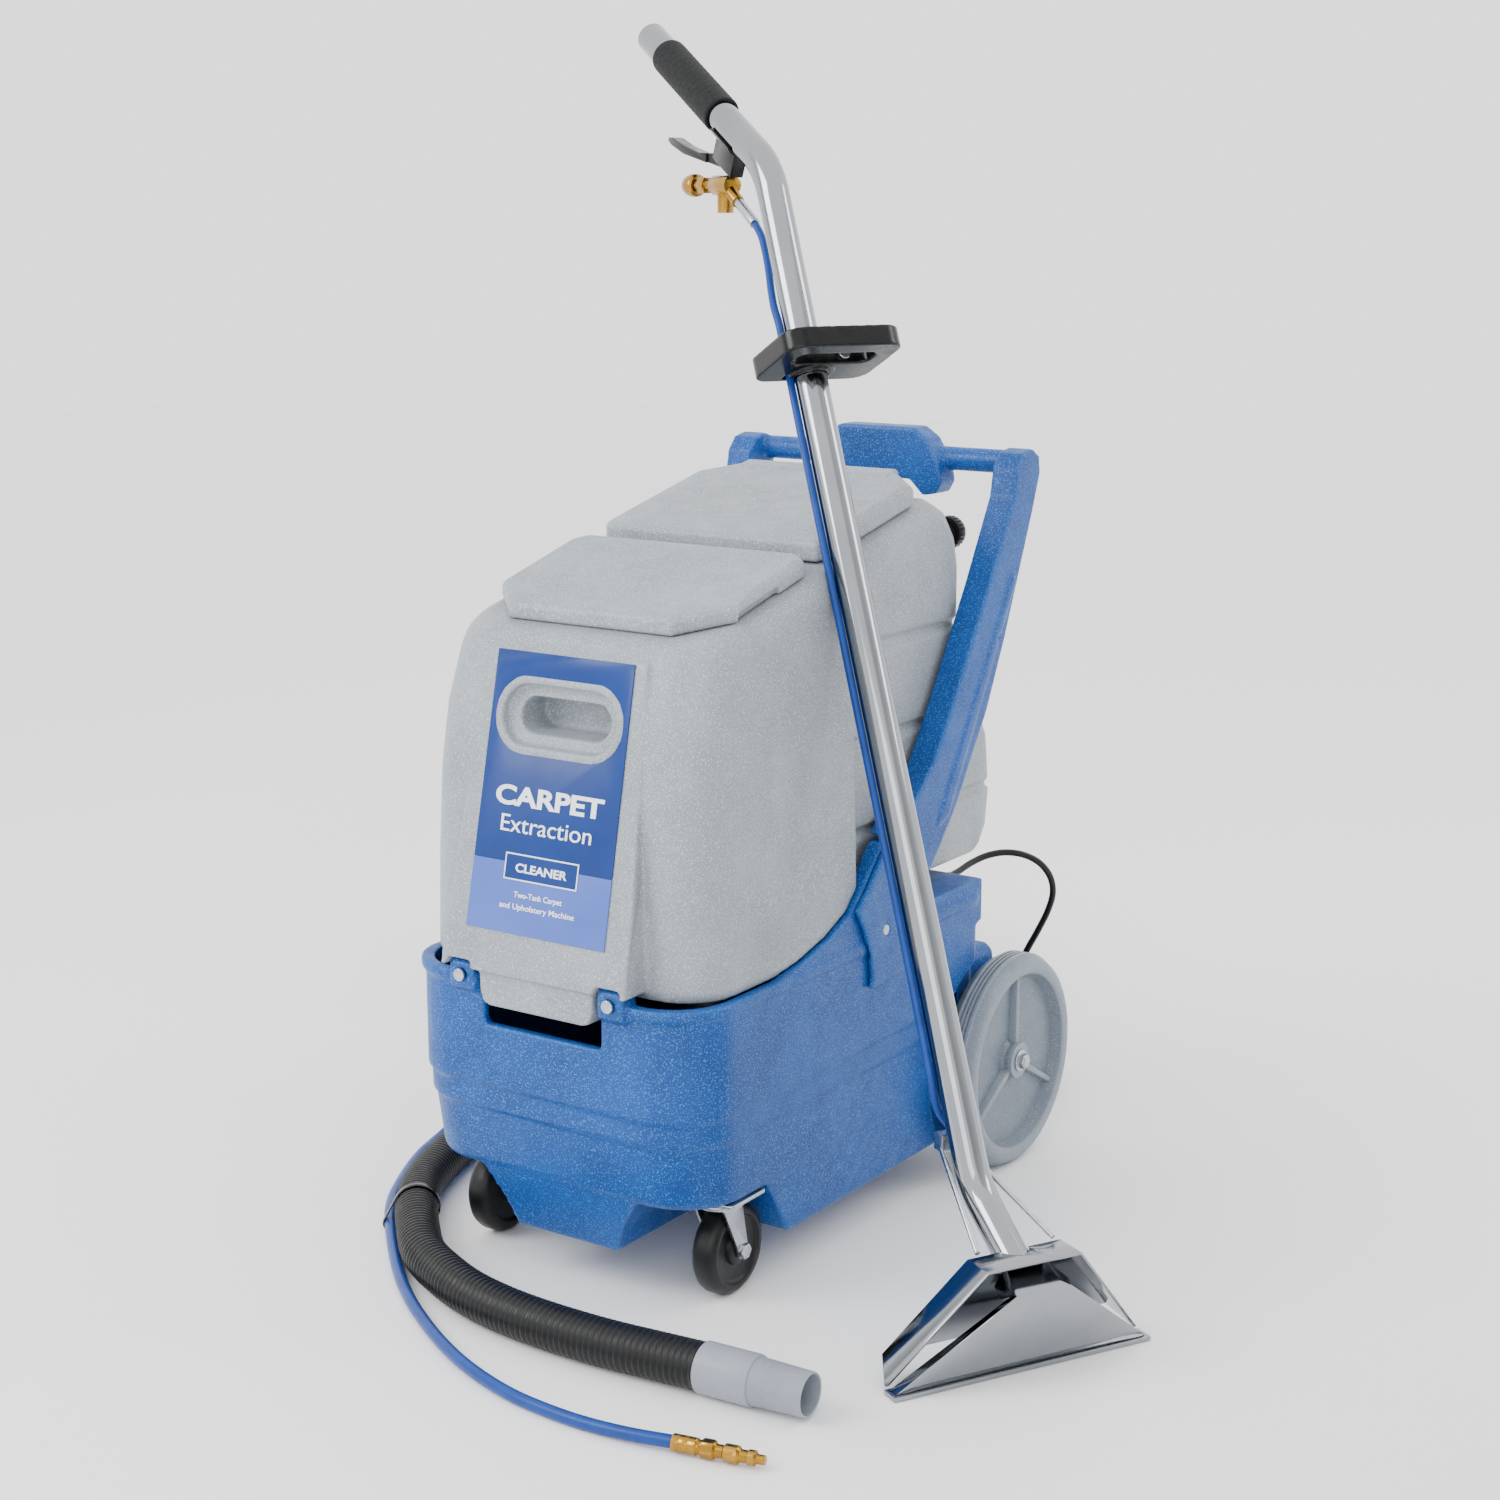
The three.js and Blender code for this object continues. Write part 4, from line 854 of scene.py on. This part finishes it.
# ------------------------------------------------------------------------------ wand
@dataclass
class Wand:
    """The floor wand's round pieces: tube, foam grip, coupler and pressure hose."""

    tube_radius: float = 17.4
    tube_wall: float = 1.6
    bend: float = 90.0
    corners: tuple[Point, ...] = ((2.6, 0, 97.8), (87, 0, 156.7), (536, 0, 1155), (825, 0, 1303))
    hose_radius: float = 4.2
    hose: tuple[Point, ...] = (
        (565.4, 0, 1094.6), (552, 0, 1083), (538, 2, 1066), (520, 7, 1044), (503, 13, 1024),
        (488, 17.5, 1008), (473.4, 19.4, 991.5), (459.4, 19.5, 960.7), (428.6, 20.5, 895.7),
        (359.4, 21, 745.7), (291.9, 21, 595.7), (224.4, 21, 445.7), (157.4, 21, 295.7),
        (140.5, 20.6, 253.7), (138.5, 18, 236), (138, 12, 220), (137, 4, 209),
        (136, 0.5, 204), (136, 0, 199.4))

    def make(self, place: Place, paint: Paint) -> None:
        """Builds the pieces.

        Args:
            place: the machine's place.
            paint: the built materials.
        """
        tube = sweep("wand_tube_polished", bent_line(self.corners, self.bend), self.tube_radius,
                     self.tube_radius - self.tube_wall, place.wand, 56)
        paint.put(tube, "polished_stainless_steel")
        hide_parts("wand_tube")
        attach(tube, "wand")

        r = self.tube_radius + 0.4
        ripple = [(21.0 + 0.12 * math.sin(i * 1.9), 124.5 + i * 3.0) for i in range(50)]
        grip = lathe("grip_sleeve_foam", [(r, 122), (19.6, 122), (20.6, 122.8), *ripple,
                                          (20.6, 273.2), (19.6, 274), (r, 274)],
                     place.on_top, 64)
        paint.put(grip, "closed_cell_foam")
        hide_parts("grip_sleeve")
        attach(grip, "wand")

        route = smooth_route([place.wand @ Vector(p) for p in self.hose], 6 * MM)
        hose = sweep("wand_pressure_hose", route, self.hose_radius * MM,
                     (self.hose_radius - 1) * MM, Matrix.Identity(4), 20)
        paint.put(hose, "blue_rubber_hose_cover")
        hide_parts("wand_hose")
        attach(hose, "wand")

        profile = round_rod([(6.9, 705), (10, 705), (12.6, 708), (13, 716), (11.5, 725),
                             (7, 731), (0, 732), (0, 726), (6.9, 726)], 0.5)
        frame = place.wand @ Matrix.Translation((0, 0, 1136)) @ Matrix.Rotation(math.pi / 2, 4, "Y")

        def knurl(number: int, step: int, radius: float) -> float:
            """Sinks every third step of the sleeve's gripping band.

            Args:
                number: which point of the section.
                step: which step round the piece.
                radius: the section's radius there.

            Returns:
                The radius to use.
            """
            return radius - (0.5 if step % 3 == 0 and 12.4 < radius < 13.2 else 0.0)

        sleeve = lathe("coupler_sleeve_turned", profile, frame, 72, knurl)
        paint.put(sleeve, "machined_brass")
        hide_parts("coupler_sleeve")
        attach(sleeve, "coupler")
        LOG.info("wand: tube, grip, pressure hose and coupler")


# ----------------------------------------------------------------------------- cords
def corrugated_group() -> bpy.types.NodeTree:
    """Geometry nodes that turn a centreline into a ribbed hose.

    Returns:
        The node group, with inputs for the ribs' sizes, the sides and the finish.
    """
    tree = bpy.data.node_groups.new("corrugated_hose", "GeometryNodeTree")
    face = tree.interface
    face.new_socket("Centreline", in_out="INPUT", socket_type="NodeSocketGeometry")
    for name, value in (("Pitch", 0.007), ("Rib Radius", 0.024), ("Root Radius", 0.022)):
        face.new_socket(name, in_out="INPUT", socket_type="NodeSocketFloat").default_value = value
    face.new_socket("Sides", in_out="INPUT", socket_type="NodeSocketInt").default_value = 24
    face.new_socket("Finish", in_out="INPUT", socket_type="NodeSocketMaterial")
    face.new_socket("Hose", in_out="OUTPUT", socket_type="NodeSocketGeometry")
    given = add_node(tree, "NodeGroupInput").outputs

    def maths(operation: str, **links: object) -> bpy.types.NodeSocket:
        """Adds one maths node.

        Args:
            operation: what it does.
            **links: i0, i1 and so on, each a number or a socket.

        Returns:
            Its result.
        """
        plain = {int(k[1:]): v for k, v in links.items() if isinstance(v, (int, float))}
        wired = {int(k[1:]): v for k, v in links.items() if not isinstance(v, (int, float))}
        return add_node(tree, "ShaderNodeMath", {"operation": operation, **plain},
                        wired).outputs[0]

    step = maths("DIVIDE", _0=given["Pitch"], _1=3.0)
    line = add_node(tree, "GeometryNodeResampleCurve", {"mode": "LENGTH"},
                    {"Curve": given["Centreline"], "Length": step})
    index = add_node(tree, "GeometryNodeInputIndex").outputs[0]
    high = maths("GREATER_THAN", _0=maths("MODULO", _0=index, _1=3.0), _1=0.5)
    rise = maths("SUBTRACT", _0=given["Rib Radius"], _1=given["Root Radius"])
    radius = maths("ADD", _0=given["Root Radius"], _1=maths("MULTIPLY", _0=high, _1=rise))
    ribbed = add_node(tree, "GeometryNodeSetCurveRadius", {}, {"Curve": line.outputs[0],
                                                               "Radius": radius})
    ring = add_node(tree, "GeometryNodeCurvePrimitiveCircle", {"Radius": 1.0},
                    {"Resolution": given["Sides"]})
    radius_of = add_node(tree, "GeometryNodeInputRadius").outputs[0]
    hose = add_node(tree, "GeometryNodeCurveToMesh", {"Fill Caps": True},
                    {"Curve": ribbed.outputs[0], "Profile Curve": ring.outputs[0],
                     "Scale": radius_of})
    real = add_node(tree, "GeometryNodeRealizeInstances", {}, {"Geometry": hose.outputs[0]})
    finished = add_node(tree, "GeometryNodeSetMaterial", {},
                        {"Geometry": real.outputs[0], "Material": given["Finish"]})
    add_node(tree, "NodeGroupOutput", {}, {"Hose": finished.outputs[0]})
    return tree


def centreline(name: str, points: Sequence[Vector]) -> bpy.types.Object:
    """A curve object of one open spline through the points.

    Args:
        name: the object's name.
        points: points of the line, in metres.

    Returns:
        The curve object.
    """
    curve = bpy.data.curves.new(name, "CURVE")
    curve.dimensions = "3D"
    curve.use_fill_caps = True
    spline = curve.splines.new("POLY")
    spline.points.add(len(points) - 1)
    for knot, at in zip(spline.points, points):
        knot.co = (*at, 1.0)
    return new_object(name, curve)


def winding(centre: tuple[float, float], start_deg: float, turns: int, radii: tuple[float, float],
            first: float, rise: float, layers: int, shift_deg: float,
            outward: bool) -> list[Point]:
    """Clockwise layers of flat spirals, each a cord's width above or below the last.

    Args:
        centre: the coil's middle.
        start_deg: the angle where the first layer starts.
        turns: turns in one layer.
        radii: radius of the innermost and the outermost turn.
        first: height of the first layer's centreline.
        rise: height from one layer to the next, negative when it falls.
        layers: how many layers.
        shift_deg: angle taken by the step from one layer to the next.
        outward: whether the first layer runs outwards.

    Returns:
        Points along the cord's centreline.
    """
    made, angle = [], start_deg
    per_turn = 24
    for layer in range(layers):
        grows = outward == (layer % 2 == 0)
        a, b = radii if grows else radii[::-1]
        for i in range(turns * per_turn + 1):
            t = i / (turns * per_turn)
            at = math.radians(angle - 360 * turns * t)
            r = a + (b - a) * t
            made.append((centre[0] + r * math.cos(at), centre[1] + r * math.sin(at),
                         first + rise * layer))
        angle -= 360 * turns + (shift_deg if layer < layers - 1 else 0)
    return made


def arc(centre: tuple[float, float], r: float, start: float, end: float, z0: float, z1: float,
        count: int) -> list[Point]:
    """Points of an arc that climbs or falls evenly.

    Args:
        centre: the arc's centre.
        r: its radius.
        start: first angle, in degrees.
        end: last angle, in degrees.
        z0: height at the start.
        z1: height at the end.
        count: how many points.

    Returns:
        The points.
    """
    made = []
    for i in range(count):
        t = i / (count - 1)
        a = math.radians(start + (end - start) * t)
        made.append((centre[0] + r * math.cos(a), centre[1] + r * math.sin(a), z0 + (z1 - z0) * t))
    return made


@dataclass
class VacuumHose:
    """The 48 mm corrugated suction hose, with its cuff."""

    radius: float = 24.0
    pitch: float = 7.0
    rib_height: float = 2.2
    sides: int = 24
    centre: tuple[float, float] = (-424, 600)
    coil_radius: float = 240.0
    drop: tuple[Point, ...] = (
        (-150, 262, 290), (-150, 290, 290), (-150.5, 320, 289), (-152, 352, 285.5),
        (-155, 386, 279), (-159, 420, 270), (-164, 454, 259), (-169, 488, 246),
        (-174, 520, 233), (-179, 550, 221), (-182.5, 577, 210.5))
    lying: tuple[Point, ...] = (
        (-489, 309, 24.3), (-452, 267, 24.3), (-417, 225, 24.3), (-386, 184, 24.3),
        (-362, 140, 24.3), (-347, 92, 24.3), (-341, 40, 24.3), (-337, -14, 24.3),
        (-328, -72, 24.3), (-313, -128, 24.3), (-293, -184, 24.5), (-266, -240, 25.5),
        (-229, -291, 26.6), (-184, -340, 25.5), (-138, -382, 24.5), (-86, -410, 24.3),
        (-32, -431, 24.3), (28, -443, 24.3), (92, -447, 24.3), (155, -446, 24.5),
        (212, -441.5, 25.2), (262, -437, 25.8))

    def make(self, place: Place, paint: Paint) -> None:
        """Builds the hose and its cuff.

        Args:
            place: the machine's place.
            paint: the built materials.
        """
        coil = (arc(self.centre, self.coil_radius, 1, 221, 201, 169, 20)
                + arc(self.centre, self.coil_radius, 221, 221 + 1080, 169, 25, 73)[1:])
        way = smooth_route(place.points([*self.drop, *coil, *self.lying]), 12 * MM)
        hose = centreline("vacuum_hose_corrugated", way)
        ribs = hose.modifiers.new("corrugations", "NODES")
        ribs.node_group = corrugated_group()
        named = {s.name: s.identifier for s in ribs.node_group.interface.items_tree
                 if s.in_out == "INPUT"}
        ribs[named["Pitch"]] = self.pitch * MM
        ribs[named["Rib Radius"]] = self.radius * MM
        ribs[named["Root Radius"]] = (self.radius - self.rib_height) * MM
        ribs[named["Sides"]] = self.sides
        ribs[named["Finish"]] = paint.by_name["black_rubber"][1]
        bpy.context.view_layer.update()
        mesh = bpy.data.meshes.new_from_object(
            hose.evaluated_get(bpy.context.evaluated_depsgraph_get()))
        bpy.data.objects.remove(hose)
        hose = new_object("vacuum_hose_corrugated_skin", mesh)
        mesh.shade_smooth()
        paint.put(hose, "black_rubber")
        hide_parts("vacuum_hose_drop", "vacuum_hose_coil", "vacuum_hose")
        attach(hose, "chassis")
        cuff = self.cuff(place, paint)
        LOG.info("%s: %.2f m, %d faces", hose.name, length_of(way), len(mesh.polygons))

    def cuff(self, place: Place, paint: Paint) -> bpy.types.Object:
        """The tapered vinyl cuff.

        Args:
            place: the machine's place.
            paint: the built materials.

        Returns:
            The cuff.
        """
        frame = axis_frame(place.machine, (262, -437, 25.8), (119, 8, 0))
        profile = [(20, 1.6), (24.4, 1.6), (25.6, 3), (25.6, 59), (25, 61.4), (23.6, 62.2),
                   (23.4, 64), (21.9, 118), (21.4, 119), (20.2, 119), (19.7, 118.4), (20, 66)]
        cuff = lathe("wand_cuff_vinyl", profile, frame, 72)
        paint.put(cuff, "cuff_soft_vinyl")
        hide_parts("wand_cuff")
        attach(cuff, "chassis")
        return cuff


@dataclass
class SolutionHose:
    """The 13 mm solution hose, with its brass tail."""

    radius: float = 6.5
    centre: tuple[float, float] = (-86, 478)
    drop: tuple[Point, ...] = (
        (-75, 247, 300), (-75, 268, 299.5), (-76, 290, 297), (-79, 312, 290), (-84, 334, 277),
        (-92, 355, 258), (-102, 373, 233), (-113, 389, 203), (-124, 404, 170), (-134, 418, 137),
        (-142, 432, 106), (-149, 447, 81), (-153.5, 462, 65), (-155.8, 474, 59.5))
    lying: tuple[Point, ...] = (
        (-137, 394, 6.7), (-160, 390, 6.7), (-188, 382, 6.7), (-216, 366, 6.7), (-240, 342, 6.7),
        (-260, 312, 7.5), (-277, 278, 14), (-293, 242, 26), (-308, 205, 41), (-322, 167, 53),
        (-335, 128, 58.5), (-347, 89, 60), (-359, 49, 55.5), (-370, 8, 42), (-379, -32, 24),
        (-381, -72, 9), (-367, -124, 6.7), (-345, -173, 6.7), (-323, -214, 6.7), (-300, -252, 7.3),
        (-267, -294, 8.8), (-229, -334, 8.2), (-185, -377, 6.7), (-144, -414, 6.7),
        (-98, -450, 6.7), (-53, -480, 6.7), (-7, -507, 6.7), (38, -529, 6.7), (84, -546, 6.7),
        (127, -557, 6.7), (172, -562, 6.7), (216, -563, 7), (264, -559, 8.2), (309, -551, 9.8))

    def make(self, place: Place, paint: Paint) -> None:
        """Builds the hose and its tail.

        Args:
            place: the machine's place.
            paint: the built materials.
        """
        cx, cy = self.centre
        top = arc(self.centre, 70, 176, 90, 59, 58.8, 7)
        ease = []
        for deg, r, z in ((63, 77, 58.5), (45, 80, 56.5), (22, 83, 52)):
            a = math.radians(deg)
            ease.append((cx + r * math.cos(a), cy + r * math.sin(a), z))
        coil = winding(self.centre, 0, 2, (57, 83), 45.6, -13, 4, 98 / 3, False)
        way = smooth_route(place.points([*self.drop, *top, *ease, *coil, *self.lying]), 6 * MM)
        hose = centreline("solution_hose_line", way)
        hose.data.bevel_depth = self.radius * MM
        hose.data.bevel_resolution = 5
        paint.put(hose, "blue_rubber_hose_cover")
        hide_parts("solution_hose_drop", "solution_hose_coil", "solution_hose")
        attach(hose, "chassis")
        tail = self.tail(place, paint)
        LOG.info("%s: %.2f m", hose.name, length_of(way))

    def tail(self, place: Place, paint: Paint) -> bpy.types.Object:
        """The brass ferrule, hexagon and plug nipple.

        Args:
            place: the machine's place.
            paint: the built materials.

        Returns:
            The tail.
        """
        frame = axis_frame(place.machine, (309, -551, 9.8), (45, 9, 0))
        profile = [(0, 0.4), (7.6, 0.4), (8.2, 1), (8.2, 7), (7.9, 7.6), (8.2, 8.2), (8.2, 16),
                   (7.9, 16.6), (8.2, 17.2), (8.2, 24.4), (7.6, 25), (7, 26), (7, 29), (8.6, 30),
                   (9.4, 31), (9.4, 41), (8.6, 42), (6.4, 44), (6.4, 51), (7.8, 52), (8.6, 53),
                   (8.6, 65), (7.8, 66), (6, 68), (6, 75), (7.4, 76), (7.4, 82), (4.6, 84),
                   (4.6, 91.4), (4, 92), (0, 92)]

        def hexagon(number: int, step: int, radius: float) -> float:
            """Turns the widest band into the six flats of a nut.

            Args:
                number: which point of the section.
                step: which step round the piece.
                radius: the section's radius there.

            Returns:
                The radius to use.
            """
            if 8.5 < radius < 9.5:
                angle = (2 * math.pi * step / 72) % (math.pi / 3) - math.pi / 6
                return min(radius, 8.3 / math.cos(angle))
            return radius

        tail = lathe("solution_hose_tail", profile, frame, 72, hexagon)
        paint.put(tail, "machined_brass")
        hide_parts("solution_nipple")
        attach(tail, "chassis")
        return tail


@dataclass
class MainsLead:
    """The 8 mm mains lead, coiled behind the machine."""

    radius: float = 4.0
    centre: tuple[float, float] = (80, 485)
    drop: tuple[Point, ...] = (
        (130, 262, 337), (130, 285, 338.5), (133, 308, 343.5), (142, 329, 349), (157, 347, 351.5),
        (174, 362, 348), (188, 377, 337), (196, 391, 318), (196, 400, 296), (188, 405, 272),
        (174, 408, 244), (157, 410, 213), (142, 411, 180), (129, 411, 145), (118, 411, 110),
        (110, 410, 76), (103, 408.5, 46), (94, 406.5, 22), (83, 406.2, 8.5), (69, 408.3, 4.6),
        (53, 413.3, 4.3), (39, 420.2, 4.3), (26, 430, 4.3))
    to_plug: tuple[Point, ...] = ((18, 507.6, 47.5), (23, 523, 50), (33, 535.5, 51.8),
                                  (45.6, 541, 52))

    def make(self, place: Place, paint: Paint) -> None:
        """Builds the lead.

        Args:
            place: the machine's place.
            paint: the built materials.
        """
        cx, cy = self.centre
        coil = winding(self.centre, 205, 3, (44, 68), 4.3, 8, 5, 40, False)
        rise = []
        for deg, r, z in ((20, 44, 39), (-10, 45, 43.5), (-40, 46.5, 45), (-80, 49, 45.5),
                          (-120, 53, 46), (-160, 58, 46.5), (-185, 62, 47)):
            a = math.radians(deg)
            rise.append((cx + r * math.cos(a), cy + r * math.sin(a), z))
        way = smooth_route(place.points([*self.drop, *coil, *rise, *self.to_plug]), 4 * MM)
        lead = centreline("mains_lead_line", way)
        lead.data.bevel_depth = self.radius * MM
        lead.data.bevel_resolution = 4
        paint.put(lead, "black_rubber")
        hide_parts("mains_lead", "mains_lead_coil")
        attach(lead, "chassis")
        LOG.info("%s: %.2f m", lead.name, length_of(way))


# ---------------------------------------------------------------------------- details
@dataclass
class Label:
    """Generic lettering and lines on the front film."""

    lean: float = 0.2137
    top: float = 671.7

    def at(self, place: Place, z: float, x: float = 0.0) -> Matrix:
        """A frame on the panel: X to the right, Y up the panel, Z out of it.

        Args:
            place: the machine's place.
            z: height on the machine.
            x: distance from the middle.

        Returns:
            The frame.
        """
        y = -297.4 - (self.top - z) * self.lean - 2.1
        tilt = math.pi / 2 - math.atan(self.lean)
        return (place.machine @ Matrix.Translation((x, y, z))
                @ Matrix.Rotation(tilt, 4, "X"))

    def words(self, place: Place, paint: Paint, name: str, text: str, z: float, size: float,
              weight: float, width: float) -> None:
        """One line of generic lettering.

        Args:
            place: the machine's place.
            paint: the built materials.
            name: the curve's name.
            text: the words.
            z: height of the line on the machine.
            size: height of the type.
            weight: how far the strokes are thickened.
            width: width that the line is fitted to.
        """
        curve = bpy.data.curves.new(name, "FONT")
        curve.body = text
        curve.align_x = "CENTER"
        curve.size = size
        curve.extrude = 0.45
        curve.offset = weight
        source = new_object(name, curve)
        bpy.context.view_layer.update()
        mesh = bpy.data.meshes.new_from_object(
            source.evaluated_get(bpy.context.evaluated_depsgraph_get()))
        bpy.data.objects.remove(source)
        span = max(v.co.x for v in mesh.vertices) - min(v.co.x for v in mesh.vertices)
        mesh.transform(self.at(place, z) @ Matrix.Scale(width / span, 4, (1, 0, 0)))
        piece = new_object(f"{name}_print", mesh)
        paint.put(piece, "printed_white_ink")
        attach(piece, "chassis")
        LOG.info("%s: %d faces", piece.name, len(piece.data.polygons))

    def make(self, place: Place, paint: Paint) -> None:
        """Builds the printed lines.

        Args:
            place: the machine's place.
            paint: the built materials.
        """
        self.words(place, paint, "line_bold", "CARPET", 519, 27, 0.9, 138)
        self.words(place, paint, "line_light", "Extraction", 492, 25, 0.0, 116)
        self.words(place, paint, "line_plate", "CLEANER", 453.5, 12, 0.35, 66)
        self.words(place, paint, "line_small_a", "Two-Tank Carpet", 428, 8.5, 0.05, 62)
        self.words(place, paint, "line_small_b", "and Upholstery Machine", 416, 8.5, 0.05, 96)
        self.plate(place, paint)

    def plate(self, place: Place, paint: Paint) -> None:
        """The framed plate between the two bands: a dark field inside a white line.

        Args:
            place: the machine's place.
            paint: the built materials.
        """
        frame = self.at(place, 458)
        for name, half, tall, lift, finish in (
                ("plate_border", 47, 13.6, 0.1, "printed_white_ink"),
                ("plate_field", 45.6, 12.2, 0.25, "printed_film_dark_blue")):
            corners = [Vector((sx * half, sy * tall, z)) for z in (lift - 0.3, lift)
                       for sx, sy in ((-1, -1), (1, -1), (1, 1), (-1, 1))]
            faces = [(3, 2, 1, 0), (4, 5, 6, 7)]
            faces += [(i, (i + 1) % 4, 4 + (i + 1) % 4, 4 + i) for i in range(4)]
            piece = mesh_piece(f"label_{name}", corners, faces, frame)
            paint.put(piece, finish)
            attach(piece, "chassis")


@dataclass
class VentCap:
    """The ribbed rubber cap on the rear tank's vent."""

    x: float = 130
    y: float = 238.6
    z: float = 748

    def make(self, place: Place, paint: Paint) -> None:
        """Builds the cap.

        Args:
            place: the machine's place.
            paint: the built materials.
        """
        frame = axis_frame(place.machine, (self.x, self.y, self.z), (0, 1, 0))
        profile = [(0, -14), (12, -14), (12, 0), (18, 0), (19, 1), (19, 13), (17.6, 15.4),
                   (15, 16), (0, 16)]

        def ribs(number: int, step: int, radius: float) -> float:
            """Cuts gripping ribs into the rim of the cap.

            Args:
                number: which point of the section.
                step: which step round the piece.
                radius: the section's radius there.

            Returns:
                The radius to use.
            """
            return radius - (0.9 if step % 4 < 2 and radius > 18.5 else 0.0)

        cap = lathe("vent_cap_ribbed", profile, frame, 96, ribs)
        paint.put(cap, "black_rubber")
        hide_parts("vent_cap")
        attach(cap, "chassis")
        LOG.info("%s: %d faces", cap.name, len(cap.data.polygons))


# ------------------------------------------------------------------------------ studio
@dataclass
class Studio:
    """Camera, pale floor and soft light."""

    azimuth: float = 34.1
    elevation: float = 12.3
    target: Point = (0, 31.6, 515.5)
    distance: float = 2873.2
    focal_share: float = 2554.4 / 1500
    lights: tuple[tuple[str, Point, float, float], ...] = (
        ("key", (-1500, -2300, 2300), 1.6, 70.0),
        ("front_fill", (1500, -2700, 1500), 1.5, 18.0),
        ("rim", (2300, 1200, 2200), 1.3, 30.0),
    )

    def material(self, name: str, code: str, rough: float) -> bpy.types.Material:
        """A plain card or floor, with a faint tone change.

        Args:
            name: the material's name.
            code: its colour.
            rough: its roughness.

        Returns:
            The material.
        """
        material = bpy.data.materials.new(name)
        material.use_nodes = True
        tree = material.node_tree
        shader = tree.nodes["Principled BSDF"]
        shader.inputs["Roughness"].default_value = rough
        tone = add_node(tree, "ShaderNodeTexNoise", {"Scale": 0.8})
        colour = add_node(tree, "ShaderNodeMix", {"data_type": "RGBA", 6: srgb(code),
                                                  7: srgb("#FFFFFF")})
        tree.links.new(tone.outputs["Fac"], colour.inputs[0])
        tree.links.new(colour.outputs[2], shader.inputs["Base Color"])
        return material

    def card(self, name: str, corners: Sequence[Point], material: bpy.types.Material,
             place: Place) -> None:
        """One flat card of the studio.

        Args:
            name: the card's name.
            corners: its four corners.
            material: its material.
            place: the machine's place.
        """
        mesh = bpy.data.meshes.new(name)
        mesh.from_pydata(place.points(corners), [], [(0, 1, 2, 3)])
        mesh.materials.append(material)
        new_object(name, mesh)

    def make(self, place: Place) -> None:
        """Sets the camera, floor, lights and cards.

        Args:
            place: the machine's place.
        """
        scene = bpy.context.scene
        az, el = math.radians(self.azimuth), math.radians(self.elevation)
        back = Vector((math.sin(az) * math.cos(el), -math.cos(az) * math.cos(el), math.sin(el)))
        lens = bpy.data.cameras.new("camera")
        lens.sensor_width = 36.0
        lens.lens = self.focal_share * 36.0
        camera = new_object("camera", lens)
        camera.location = place.machine @ Vector(self.target) + back * self.distance * MM
        camera.rotation_mode = "QUATERNION"
        camera.rotation_quaternion = (-back).to_track_quat("-Z", "Y")
        scene.camera = camera
        floor = self.material("pale_floor", "#F4F4F4", 0.55)
        self.card("floor", [(-9000, -9000, -0.3), (9000, -9000, -0.3), (9000, 9000, -0.3),
                            (-9000, 9000, -0.3)], floor, place)
        dark = self.material("dark_card", "#15181C", 0.9)
        self.card("card_left", [(-1900, -1500, 0), (-1900, -700, 0), (-1900, -700, 2600),
                                (-1900, -1500, 2600)], dark, place)
        self.card("card_right", [(1700, -900, 0), (1700, 700, 0), (1700, 700, 2600),
                                 (1700, -900, 2600)], dark, place)
        aim = place.machine @ Vector((0, 0, 450))
        for name, at, size, power in self.lights:
            lamp = bpy.data.lights.new(name, "AREA")
            lamp.size = size
            lamp.energy = power
            lit = new_object(name, lamp)
            lit.location = place.machine @ Vector(at)
            lit.rotation_mode = "QUATERNION"
            lit.rotation_quaternion = (aim - lit.location).to_track_quat("-Z", "Y")
        world = bpy.data.worlds.new("studio_air")
        world.use_nodes = True
        scene.world = world
        ground = world.node_tree.nodes["Background"]
        ground.inputs["Color"].default_value = srgb("#FFFFFF")
        ground.inputs["Strength"].default_value = 1.9


def main() -> None:
    """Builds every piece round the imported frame."""
    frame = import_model()
    place = Place()
    paint = Paint()
    Studio().make(place)
    Skins().make(frame, paint)
    VacuumHose().make(place, paint)
    SolutionHose().make(place, paint)
    MainsLead().make(place, paint)
    RearWheels().make(place, paint)
    CasterWheels().make(place, paint)
    Wand().make(place, paint)
    Label().make(place, paint)
    VentCap().make(place, paint)


if __name__ == "__main__":
    main()
